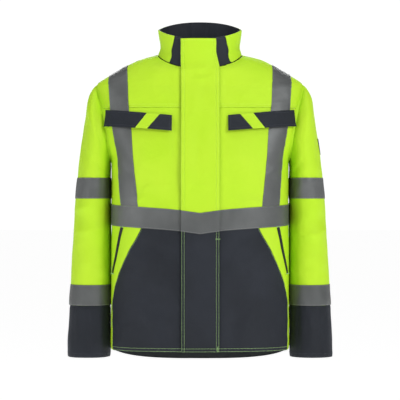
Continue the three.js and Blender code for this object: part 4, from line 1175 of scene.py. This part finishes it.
def front_grid(x, z, out, collar_x=None, collar_z=None, collar_out=None):
    turn, height = spot_seen(BODY_RINGS, x, z)
    rows = raised(BODY, turn, height, out)
    if collar_z is None:
        return rows
    turn, height = spot_seen(COLLAR_RINGS, collar_x, collar_z)
    return bridge(rows, raised(COLLAR, turn, height, collar_out), 4)


def waist_line(x):
    out = np.abs(x)
    share = np.minimum((out - FLAP_SEWN_EDGE) / (WAIST_SIDE_OUT - FLAP_SEWN_EDGE), 1)
    side = lerp(WAIST_FLAP_EDGE, WAIST_SIDE, share)
    return np.where(out > FLAP_SEWN_EDGE, side, lerp(WAIST_CENTRE, WAIST_FLAP_EDGE, out / FLAP_SEWN_EDGE))


# %% The flap's own profile
FLAP_CREASES = [
    (-44, -58, 44, -46, -2.6, 6, 3),
    (-44, -40, 40, -30, 1.8, 7, 3),
    (-30, -98, 38, -76, -1.4, 10, 3),
    (-40, -318, 40, -322, 0.9, 3, 0),
    (-36, -440, 30, -520, 1.7, 9, 4),
    (-40, -500, 26, -590, -1.6, 10, 4),
    (-30, -560, 34, -660, 1.6, 10, 5),
    (-34, -640, 20, -712, -1.3, 9, 3),
    (-10, -180, 6, -380, -1.1, 12, 4),
]
FLAP_STITCHES = (1.8, 8.0)
FLAP_PADDING = 1.1
FLAP_EDGE_COLUMNS = np.array([0, 0.5, 1.1, 1.8, 2.6, 3.8, 5.4, 6.8, 8.0, 9.2, 11.0])


def flap_across():
    """Shares across the flap, closer together where its edges are stitched."""
    width = FLAP_SEWN_EDGE - FLAP_FREE_EDGE
    middle = np.linspace(14, width - 14, 16)
    return np.concatenate([FLAP_EDGE_COLUMNS, middle, width - FLAP_EDGE_COLUMNS[::-1]]) / width


def flap_floor(share, z):
    lift = 3.2 * np.exp(-(((z + 300) / 46) ** 2)) + 2.0 * np.exp(-(((z + 190) / 120) ** 2))
    return FLAP_FLOOR + (FLAP_STAND_OFF + lift) * (1 - share) ** 3


def flap_top(share, x, z):
    width = FLAP_SEWN_EDGE - FLAP_FREE_EDGE
    from_edges = (share * width, (1 - share) * width)
    groove = sum(0.9 * np.exp(-(((far - line) / 0.9) ** 2)) for far in from_edges for line in FLAP_STITCHES)
    rounding = sum(1.5 * np.exp(-((far / 0.9) ** 2)) for far in from_edges)
    wave = ripples(z, share * 40, PUCKER_LENGTH, 81, 5)
    pucker = sum(0.45 * wave * np.exp(-far / 10) for far in from_edges)
    full = flap_floor(share, z) + CLOTH + FLAP_PADDING
    return full - groove - rounding + pucker + creases(FLAP_CREASES, x, z)


flap_share = flap_across()[None, :]


def flap_rows(z):
    x = lerp(FLAP_FREE_EDGE, FLAP_SEWN_EDGE, flap_share) + 0 * z
    return x, z + 0 * x


print("flap columns", flap_share.shape[1])

# %% Storm flap above and below the waist seam
level = np.linspace(WAIST_CENTRE, NECK_FRONT - NECK_CLEAR, 84)[:, None]
x, z = flap_rows(level)
z = z + (waist_line(x) + HALF_GAP - WAIST_CENTRE) * np.clip(1 - (z - WAIST_CENTRE) / 30, 0, 1)
collar_level = np.linspace(NECK_FRONT + NECK_CLEAR, COLLAR_FRONT, 15)[:, None]
sewn_edge = lerp(FLAP_SEWN_EDGE, FLAP_COLLAR_SEWN_EDGE, np.clip(np.linspace(0.1, 2.0, 15), 0, 1))[:, None]
collar_x = lerp(FLAP_FREE_EDGE, sewn_edge, flap_share)
collar_z = collar_level + 0 * collar_x
skins = [
    front_grid(x, z, top(flap_share, x, z), collar_x, collar_z, top(flap_share, collar_x, collar_z))
    for top in (flap_top, lambda share, x, z: flap_floor(share, z) + 0 * x)
]
finish_piece("storm_flap_upper", skins[0], skins[1], yellow_skin)

level = np.linspace(HEM_FRONT, WAIST_CENTRE, 76)[:, None]
x, z = flap_rows(level)
z = z + (waist_line(x) - HALF_GAP - WAIST_CENTRE) * np.clip(1 - (WAIST_CENTRE - z) / 30, 0, 1)
skins = [front_grid(x, z, flap_top(flap_share, x, z)), front_grid(x, z, flap_floor(flap_share, z) + 0 * x)]
finish_piece("storm_flap_lower", skins[0], skins[1], navy_skin)

# %% Zip tape and slider behind the flap
ZIP_WIDTH, ZIP_FACE, ZIP_BACK, ZIP_END = 36.0, -3.4, -4.6, 3.0
SLIDER = {"width": 9.0, "from": 12.0, "to": 27.0}
zip_x = np.linspace(-ZIP_WIDTH / 2, ZIP_WIDTH / 2, 9)[None, :]
zip_z = np.linspace(HEM_FRONT + ZIP_END, NECK_FRONT - NECK_CLEAR, 110)[:, None]
zip_collar = np.linspace(NECK_FRONT + NECK_CLEAR, COLLAR_FRONT - ZIP_END, 12)[:, None]
skins = [
    front_grid(zip_x + 0 * zip_z, zip_z + 0 * zip_x, out, zip_x + 0 * zip_collar, zip_collar + 0 * zip_x, out)
    for out in (ZIP_FACE, ZIP_BACK)
]
finish_piece("front_zip", skins[0], skins[1], [zip_tape])


def slider_skin(out, inset):
    across = np.linspace(-1, 1, 9)[None, :]
    up = np.linspace(SLIDER["from"], SLIDER["to"], 11)[:, None]
    share = (up - SLIDER["from"]) / (SLIDER["to"] - SLIDER["from"])
    half = SLIDER["width"] / 2 * (0.62 + 0.38 * np.sin(share * math.pi)) - inset
    turn, height = spot_seen(COLLAR_RINGS, across * half, up + 0 * across)
    crown = out * (1 - 0.35 * across ** 2)
    return raised(COLLAR, turn, height, ZIP_FACE + SEAM_GAP + crown, 0.0)


slider = wall("zip_slider", slider_skin(4.6, 0.5), slider_skin(0.0, 0.0), [slider_metal])
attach(slider, "root")
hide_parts("front_zip_slider")
print("slider", SLIDER["width"], "mm wide")

# %% [markdown]
# ## Reflective tape
# The tape is 50 mm wide and sewn flat over the seams. The waist tape follows the waist seam and
# is cut at the flap; the shoulder tapes rise from it, go over the shoulder and down the back. A
# strip along a path is made row by row, each row square to the path's direction.

# %% Waist tapes
def tape(node, spots, seed, top=TAPE_TOP):
    return panel(node, BODY, spots, [tape_cloth], out=top,
                 thick=TAPE_TOP - TAPE_FLOOR, seed=seed, dip=0.25, pucker=0.3)


half_tape = TAPE_WIDTH / 2
drops = np.linspace(-half_tape, half_tape, 13)[:, None]
flap_start = float(np.abs(spot_seen(BODY_RINGS, FRONT_EDGE, body_point(0, WAIST_CENTRE)[2])[0]))
for side, word in SIDES:
    turn = np.linspace(flap_start, 1 - GAP_TURNS, 68)[None, :] + 0 * drops
    tape(f"waist_tape_front_{word}", on_side(side, (turn, waist_height(turn) + drops)),
         81 + side)
turn = np.linspace(1 + GAP_TURNS, 3 - GAP_TURNS, 134)[None, :] + 0 * drops
tape("waist_tape_back", (turn, waist_height(turn) + drops), 84)

x = lerp(FLAP_FREE_EDGE, FLAP_SEWN_EDGE, flap_share) + 0 * drops
z = waist_line(x) + drops
smooth_floor = flap_floor(flap_share, z) + CLOTH + FLAP_PADDING + creases(FLAP_CREASES, x, z)
skins = [front_grid(x, z, smooth_floor + out) for out in (TAPE_TOP - 0.2, 0.2)]
finish_piece("waist_tape_flap", skins[0], skins[1], [tape_cloth])

# %% A strip along a path
PATH_STEP, TURN_STEP, HEIGHT_STEP = 0.002, 0.002, 0.4


def strip(form, path, width, steps, columns):
    """Turns and heights of a strip of this width, each row of it square to the path."""
    point = form["point"]
    share = np.linspace(0, 1, steps + 1)
    turn, height = path(share)
    ahead = point(*path(np.minimum(share + PATH_STEP, 1))) - point(*path(np.maximum(share - PATH_STEP, 0)))
    by_turn = (point(turn + TURN_STEP, height) - point(turn - TURN_STEP, height)) / (2 * TURN_STEP)
    by_height = (point(turn, height + HEIGHT_STEP) - point(turn, height - HEIGHT_STEP)) / (2 * HEIGHT_STEP)
    side_turn = np.einsum("ij,ij->i", by_height, ahead)
    side_height = -np.einsum("ij,ij->i", by_turn, ahead)
    size = np.linalg.norm(by_turn * side_turn[:, None] + by_height * side_height[:, None], axis=-1)
    aside = np.linspace(-0.5, 0.5, columns + 1)[None, :] * width
    turns = turn[:, None] + (side_turn / size)[:, None] * aside
    return turns, height[:, None] + (side_height / size)[:, None] * aside


# %% Shoulder tapes
SHOULDER_LINE = table(["height", "out"], [
    (-440, 163), (-363, 170), (-278, 178), (-235, 182.5), (-189, 186.5), (-139, 193), (-78, 197),
])
SHOULDER_TAPE = {"rows": 18, "over_rows": 16, "lowest": -440.0, "over_from": -78.0, "end_ease": 0.7}
SHOULDER_FROM = -125.0


def height_at(turn, x):
    """The height on the shoulder where a line of this turn is x from the middle."""
    low, high = np.full(turn.shape, SHOULDER_FROM), np.full(turn.shape, NECK)
    for _ in range(30):
        middle = (low + high) / 2
        outside = body_point(turn, middle)[..., 0] > x
        low, high = np.where(outside, middle, low), np.where(outside, high, middle)
    return low


def shoulder_out(z):
    return along_table(SHOULDER_LINE, "height", z)["out"]


over_x = float(shoulder_out(SHOULDER_TAPE["over_from"]))
over_turns = [
    float(spot_seen(BODY_RINGS, over_x, SHOULDER_TAPE["over_from"], front)[0]) for front in (True, False)
]
up_to = SHOULDER_TAPE["rows"] / (2 * SHOULDER_TAPE["rows"] + SHOULDER_TAPE["over_rows"])


def shoulder_path(share):
    up = np.clip(np.minimum(share, 1 - share) / up_to, 0, 1)
    z = lerp(SHOULDER_TAPE["lowest"], SHOULDER_TAPE["over_from"], up)
    in_front = spot_seen(BODY_RINGS, shoulder_out(z), z, True)
    behind = spot_seen(BODY_RINGS, shoulder_out(z), z, False)
    over = (share - up_to) / (1 - 2 * up_to)
    eased = over - SHOULDER_TAPE["end_ease"] * np.sin(over * 4 * QUARTER) / (4 * QUARTER)
    turn_over = lerp(over_turns[0], over_turns[1], np.clip(eased, 0, 1))
    on_top = (share > up_to) & (share < 1 - up_to)
    turn = np.where(on_top, turn_over, np.where(share < 0.5, in_front[0], behind[0]))
    height = np.where(on_top, height_at(turn_over, over_x), np.where(share < 0.5, in_front[1], behind[1]))
    return turn, height


def trimmed(turn, height, clear):
    """Cuts the strip off just above the waist tape at both of its ends."""
    above = body_point(turn, height)[..., 2] - waist_height(turn) - clear
    kept = np.flatnonzero((above > 0.5).all(axis=1))
    half = len(turn) // 2
    columns = range(turn.shape[1])
    ends = []
    for rows in (slice(None, half), slice(None, half - len(turn) % 2, -1)):
        ends.append([
            [np.interp(0.0, above[rows, i], values[rows, i]) for i in columns] for values in (turn, height)
        ])
    return tuple(np.vstack([ends[0][i], values[kept], ends[1][i]]) for i, values in enumerate((turn, height)))


shoulder_spots = trimmed(*strip(BODY, shoulder_path, TAPE_WIDTH, 208, 12), half_tape + SEAM_GAP)
for side, word in SIDES:
    tape(f"shoulder_tape_{word}", on_side(side, shoulder_spots),
         86 + side)

# %% [markdown]
# ## Pockets
# Each chest pocket has a flap of three pieces: navy, a slanted yellow stripe, navy. The flap
# hangs from its upper edge, so its lower edge stands off and throws a shadow. The side pockets
# are slanted zips beside the arches.

# %% Chest pocket flaps
FLAP_POCKET = {"outer": 224.0, "inner": 66.5, "outer_top": -138.5, "outer_bottom": -178.0, "inner_top": -153.4,
               "inner_bottom": -192.0, "stripe_top": (126.0, 95.0), "stripe_bottom": (152.0, 124.0),
               "floor_top": 2.3, "floor_bottom": 8.0, "padding": 0.7}


def pocket_piece(node, side, corners, material, slot, outer_end, inner_end):
    left_top, right_top, left_bottom, right_bottom = corners
    flap = FLAP_POCKET
    width = abs(left_top - right_top)
    across = np.linspace(0, 1, max(int(width / 2.6), 8) + 1)[None, :]
    down = np.linspace(0, 1, 19)[:, None]
    x = lerp(lerp(left_top, right_top, across), lerp(left_bottom, right_bottom, across), down)
    share = (x - flap["outer"]) / (flap["inner"] - flap["outer"])
    top = lerp(flap["outer_top"], flap["inner_top"], share)
    bottom = lerp(flap["outer_bottom"], flap["inner_bottom"], share)
    z = lerp(top, bottom, down)
    turn, height = spot_seen(BODY_RINGS, side * x, z)
    floor = lerp(flap["floor_top"], flap["floor_bottom"], down ** 1.4) + 0 * x
    far = [(top - z), (z - bottom)]
    far += [np.abs(x - flap["outer"])] if outer_end else []
    far += [np.abs(x - flap["inner"])] if inner_end else []
    nearest = np.minimum.reduce(far)
    groove = 0.5 * np.exp(-(((nearest - 6.0) / 1.3) ** 2)) + 1.3 * np.exp(-((nearest / 1.2) ** 2))
    seam = 0.8 * np.exp(-((across * width / 1.6) ** 2)) * (not outer_end)
    seam = seam + 0.8 * np.exp(-(((1 - across) * width / 1.6) ** 2)) * (not inner_end)
    wave = 0.35 * ripples(x, z, 24, 91 + side)
    upper = raised(BODY, turn, height, floor + CLOTH + flap["padding"] - groove - seam + wave, 0.6)
    lower = raised(BODY, turn, height, floor, 0.6)
    finish_piece(node, upper, lower, material)


SLANT = 1.3
slant_gap = HALF_GAP * SLANT
outer, inner = FLAP_POCKET["outer"], FLAP_POCKET["inner"]
(top_out, top_in), (bottom_out, bottom_in) = FLAP_POCKET["stripe_top"], FLAP_POCKET["stripe_bottom"]
POCKET_PIECES = {
    "outer": ((outer, top_out + slant_gap, outer, bottom_out + slant_gap),
              navy_skin, "navy_cloth", True, False),
    "stripe": ((top_out - slant_gap, top_in + slant_gap, bottom_out - slant_gap, bottom_in + slant_gap),
               yellow_skin, "hi_vis_yellow", False, False),
    "inner": ((top_in - slant_gap, inner, bottom_in - slant_gap, inner),
              navy_skin, "navy_cloth", False, True),
}
for side, word in SIDES:
    for part, settings in POCKET_PIECES.items():
        pocket_piece(f"chest_flap_{word}_{part}", side, *settings)

# %% Side pocket zips
POCKET_ZIP = {"top": (186.0, -419.0), "bottom": (210.0, -530.0), "width": 9.0, "floor": 0.45, "face": 1.5}
for side, word in SIDES:
    def zip_path(share):
        start, end = POCKET_ZIP["top"], POCKET_ZIP["bottom"]
        return spot_seen(BODY_RINGS, side * lerp(start[0], end[0], share), lerp(start[1], end[1], share))

    spots = strip(BODY, zip_path, POCKET_ZIP["width"], 30, 6)
    panel(f"pocket_zip_{word}", BODY, spots, [zip_tape],
          out=POCKET_ZIP["face"], thick=POCKET_ZIP["face"] - POCKET_ZIP["floor"], dip=0.2, pucker=0.1,
          seed=95)

# %% [markdown]
# ## Thread
# Stitches repeat along every seam, so Geometry Nodes lay them: the path becomes a curve, is cut
# into even steps, and each step gets one small rounded stitch, turned along the path and lying
# on the cloth. The same tree makes the coils of the zips, wider across than along. A path is
# found on a finished piece, at a distance in from one of its edges.

# %% A path on a piece, along one of its edges
def edge_path(node, edge, inset, start=2.0, end=2.0, lift=0.15):
    """Points and outward normals of a line inside an edge, from start to end mm off its ends."""
    grid = grids["cloth_" + node]
    outer, out = grid["outer"], grid["out"]
    if grid["wrapped"]:
        outer, out = (np.concatenate([values, values[:, :1]], axis=1) for values in (outer, out))
    if edge == "right":
        outer, out = outer[:, ::-1], out[:, ::-1]
    if edge == "top":
        outer, out = outer[::-1], out[::-1]
    if edge in ("low", "top"):
        outer, out = outer.transpose(1, 0, 2), out.transpose(1, 0, 2)
    far = np.pad(np.cumsum(np.linalg.norm(np.diff(outer, axis=1), axis=-1), axis=1), ((0, 0), (1, 0)))
    i = np.clip((far < inset).sum(axis=1), 1, far.shape[1] - 1)
    rows = np.arange(len(far))
    share = np.clip((inset - far[rows, i - 1]) / (far[rows, i] - far[rows, i - 1]), 0, 1)[:, None]
    points = lerp(outer[rows, i - 1], outer[rows, i], share)
    normals = lerp(out[rows, i - 1], out[rows, i], share)
    run = np.pad(np.cumsum(np.linalg.norm(np.diff(points, axis=0), axis=-1)), (1, 0))
    kept = (run >= start) & (run <= run[-1] - end)
    return points[kept] + normals[kept] * lift, normals[kept]


print("paths follow the edges of", len(grids), "pieces")

# %% The tree that repeats a small shape along paths
along_path = bpy.data.node_groups.new("along_path", "GeometryNodeTree")
along_path.is_modifier = True
sockets = {}


def add_socket(title, kind, direction="INPUT"):
    sockets[title] = along_path.interface.new_socket(name=title, in_out=direction, socket_type=kind)


add_socket("Paths", "NodeSocketGeometry")
for title, default in (("Pitch", 0.003), ("Along", 0.0022), ("Across", 0.0006), ("High", 0.0004)):
    add_socket(title, "NodeSocketFloat")
    sockets[title].default_value = default
add_socket("Finish", "NodeSocketMaterial")
add_socket("Made", "NodeSocketGeometry", "OUTPUT")


def add_node(kind, **settings):
    node = along_path.nodes.new(kind)
    for name, value in settings.items():
        setattr(node, name, value)
    return node


given, result = add_node("NodeGroupInput"), add_node("NodeGroupOutput")
as_curve = add_node("GeometryNodeMeshToCurve")
even = add_node("GeometryNodeResampleCurve", mode="LENGTH")
bead = add_node("GeometryNodeMeshIcoSphere")
bead.inputs["Radius"].default_value = 0.5
bead.inputs["Subdivisions"].default_value = 1
sizes = add_node("ShaderNodeCombineXYZ")
shaped = add_node("GeometryNodeTransform")
tangent = add_node("GeometryNodeInputTangent")
facing = add_node("GeometryNodeInputNamedAttribute", data_type="FLOAT_VECTOR")
facing.inputs["Name"].default_value = "out"
turning = add_node("FunctionNodeAxesToRotation", primary_axis="X", secondary_axis="Z")
laid = add_node("GeometryNodeInstanceOnPoints")
real = add_node("GeometryNodeRealizeInstances")
smooth = add_node("GeometryNodeSetShadeSmooth")
finish = add_node("GeometryNodeSetMaterial")
wires = along_path.links
wires.new(given.outputs["Paths"], as_curve.inputs[0])
wires.new(as_curve.outputs[0], even.inputs["Curve"])
wires.new(given.outputs["Pitch"], even.inputs["Length"])
for axis, title in (("X", "Along"), ("Y", "Across"), ("Z", "High")):
    wires.new(given.outputs[title], sizes.inputs[axis])
wires.new(bead.outputs["Mesh"], shaped.inputs["Geometry"])
wires.new(sizes.outputs[0], shaped.inputs["Scale"])
wires.new(tangent.outputs[0], turning.inputs["Primary Axis"])
wires.new(facing.outputs["Attribute"], turning.inputs["Secondary Axis"])
wires.new(even.outputs[0], laid.inputs["Points"])
wires.new(shaped.outputs[0], laid.inputs["Instance"])
wires.new(turning.outputs[0], laid.inputs["Rotation"])
wires.new(laid.outputs[0], smooth.inputs["Geometry"])
wires.new(smooth.outputs[0], real.inputs[0])
wires.new(real.outputs[0], finish.inputs["Geometry"])
wires.new(given.outputs["Finish"], finish.inputs["Material"])
wires.new(finish.outputs[0], result.inputs[0])
print("tree along_path has", len(along_path.nodes), "nodes")

# %% Laying a run of stitches or coils
def lay_along(name, paths, finish_material, pitch, along, across, high):
    points, normals, edges, first = [], [], [], 0
    for place, normal in paths:
        points.append(place)
        normals.append(normal)
        edges += [(first + i, first + i + 1) for i in range(len(place) - 1)]
        first += len(place)
    points, normals = np.concatenate(points) * MM, np.concatenate(normals)
    mesh = bpy.data.meshes.new(name + "_paths")
    mesh.from_pydata(points.tolist(), edges, [])
    out = mesh.attributes.new("out", "FLOAT_VECTOR", "POINT")
    out.data.foreach_set("vector", normals.astype(np.float32).ravel())
    holder = bpy.data.objects.new(name + "_holder", mesh)
    bpy.context.scene.collection.objects.link(holder)
    modifier = holder.modifiers.new("lay", "NODES")
    modifier.node_group = along_path
    sizes_mm = {"Pitch": pitch, "Along": along, "Across": across, "High": high}
    for title, value in sizes_mm.items():
        modifier[sockets[title].identifier] = value * MM
    modifier[sockets["Finish"].identifier] = finish_material
    graph = bpy.context.evaluated_depsgraph_get()
    evaluated = holder.evaluated_get(graph)
    made = bpy.data.meshes.new_from_object(evaluated, preserve_all_data_layers=True, depsgraph=graph)
    bpy.data.objects.remove(holder)
    made.name = name
    piece = bpy.data.objects.new(name, made)
    bpy.context.scene.collection.objects.link(piece)
    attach(piece, "root")
    print(name, len(made.polygons), "faces on", len(paths), "paths")
    return piece


# %% [markdown]
# The tapes are sewn with grey thread, 2 mm in from each edge. The navy hem and the navy part of
# the flap show a pale green topstitch, the flap's edges carry two rows, and the cuffs are sewn in
# navy. Yellow seams are topstitched in yellow.

# %% Where each thread runs
grey_paths, green_paths, yellow_paths, navy_paths = [], [], [], []
for node in ("waist_tape_back", "waist_tape_front_left", "waist_tape_front_right", "waist_tape_flap"):
    grey_paths += [edge_path(node, edge, 2.0) for edge in ("low", "top")]
for _, word in SIDES:
    grey_paths += [edge_path(f"shoulder_tape_{word}", edge, 2.0) for edge in ("left", "right")]
    for place in ("upper", "lower"):
        grey_paths += [edge_path(f"sleeve_tape_{place}_{word}", edge, 2.0, 0, 0) for edge in ("low", "top")]
    green_paths += [edge_path(f"front_lower_{word}", "low", inset) for inset in (2.0, 9.0)]
    green_paths.append(edge_path(f"front_lower_{word}", "right", 2.2))
    navy_paths += [edge_path(f"cuff_{word}", "top", inset, 0, 0) for inset in (3.5, 10.0)]
    navy_paths.append(edge_path(f"cuff_{word}", "low", 2.5, 0, 0))
    yellow_paths.append(edge_path(f"sleeve_{word}", "top", 3.0, 0, 0))
    yellow_paths.append(edge_path(f"side_{word}", "low", 9.0))
    yellow_paths += [edge_path(f"front_yoke_{word}", "low", inset) for inset in (2.4, 8.0)]
    yellow_paths.append(edge_path(f"front_yoke_{word}", "top", 4.0))
    for part in ("outer", "inner"):
        navy_paths += [edge_path(f"chest_flap_{word}_{part}", edge, 5.5, 4, 4) for edge in ("low", "top")]
    navy_paths.append(edge_path(f"chest_flap_{word}_inner", "right", 5.5, 4, 4))
    yellow_paths += [edge_path(f"chest_flap_{word}_stripe", edge, 2.4, 1, 1) for edge in ("left", "right")]
green_paths += [edge_path("back_lower", "low", inset) for inset in (2.0, 9.0)]
flap_rows_sewn = [(edge, inset) for edge in ("left", "right") for inset in FLAP_STITCHES]
green_paths += [edge_path("storm_flap_lower", edge, inset) for edge, inset in flap_rows_sewn]
green_paths += [edge_path("storm_flap_lower", "low", inset) for inset in (2.0, 9.0)]
yellow_paths += [edge_path("storm_flap_upper", edge, inset) for edge, inset in flap_rows_sewn]
yellow_paths.append(edge_path("storm_flap_upper", "top", 4.0))
yellow_paths += [edge_path("back_yoke", "low", inset) for inset in (2.4, 8.0)]
yellow_paths.append(edge_path("collar_outer", "top", 4.0))
navy_paths += [edge_path("collar_inner", "top", inset) for inset in (4.0, 12.0)]
navy_paths += [edge_path(f"collar_insert_{word}", "top", 4.0) for _, word in SIDES]
navy_paths += [edge_path("sleeve_patch", edge, 2.0) for edge in ("left", "right", "low", "top")]
lay_along("stitches_grey", grey_paths, thread["grey"], 3.2, 2.5, 0.7, 0.5)
lay_along("stitches_green", green_paths, thread["green"], 3.4, 2.9, 0.95, 0.6)
lay_along("stitches_yellow", yellow_paths, thread["yellow"], 3.4, 2.8, 0.8, 0.5)
lay_along("stitches_navy", navy_paths, thread["navy"], 3.2, 2.6, 0.8, 0.5)

# %% Bartacks, where a pocket or a flap takes the strain
def bartack(x, z, length, upright, out):
    steps = np.linspace(-length / 2, length / 2, 9)
    xs, zs = (x + 0 * steps, z + steps) if upright else (x + steps, z + 0 * steps)
    turn, height = spot_seen(BODY_RINGS, xs, zs)
    return raised(BODY, turn, height, out), normal_on(BODY, turn, height)


flap_out = FLAP_FLOOR + CLOTH + FLAP_PADDING
tacks = [bartack(42.0, HEM_FRONT + 8, 12, True, flap_out), bartack(42.0, -446.0, 10, False, flap_out)]
for side in (1, -1):
    tacks.append(bartack(side * POCKET_ZIP["top"][0], POCKET_ZIP["top"][1] + 1, 9, False, 1.6))
    tacks.append(bartack(side * POCKET_ZIP["bottom"][0], POCKET_ZIP["bottom"][1] - 1, 9, False, 1.6))
lay_along("bartacks", tacks, thread["green"], 0.8, 0.7, 2.4, 0.8)

# %% Coils of the pocket zips and of the front zip
coils = [edge_path(f"pocket_zip_{word}", "left", 4.5, 1, 1) for _, word in SIDES]
lay_along("pocket_coils", coils, coil_plastic, 1.5, 0.95, 4.2, 1.5)
front_teeth = [edge_path("front_zip", "left", inset, 2, 2, 0.5) for inset in (16.4, 19.6)]
lay_along("front_teeth", front_teeth, coil_plastic, 2.6, 1.5, 4.4, 1.9)

# %% [markdown]
# ## Cloth in all
# The areas of all the cut pieces are added up.

# %% Finish
print("cloth cut in all", round(sum(area for _, _, area in cuts.values()), 3), "square metres")
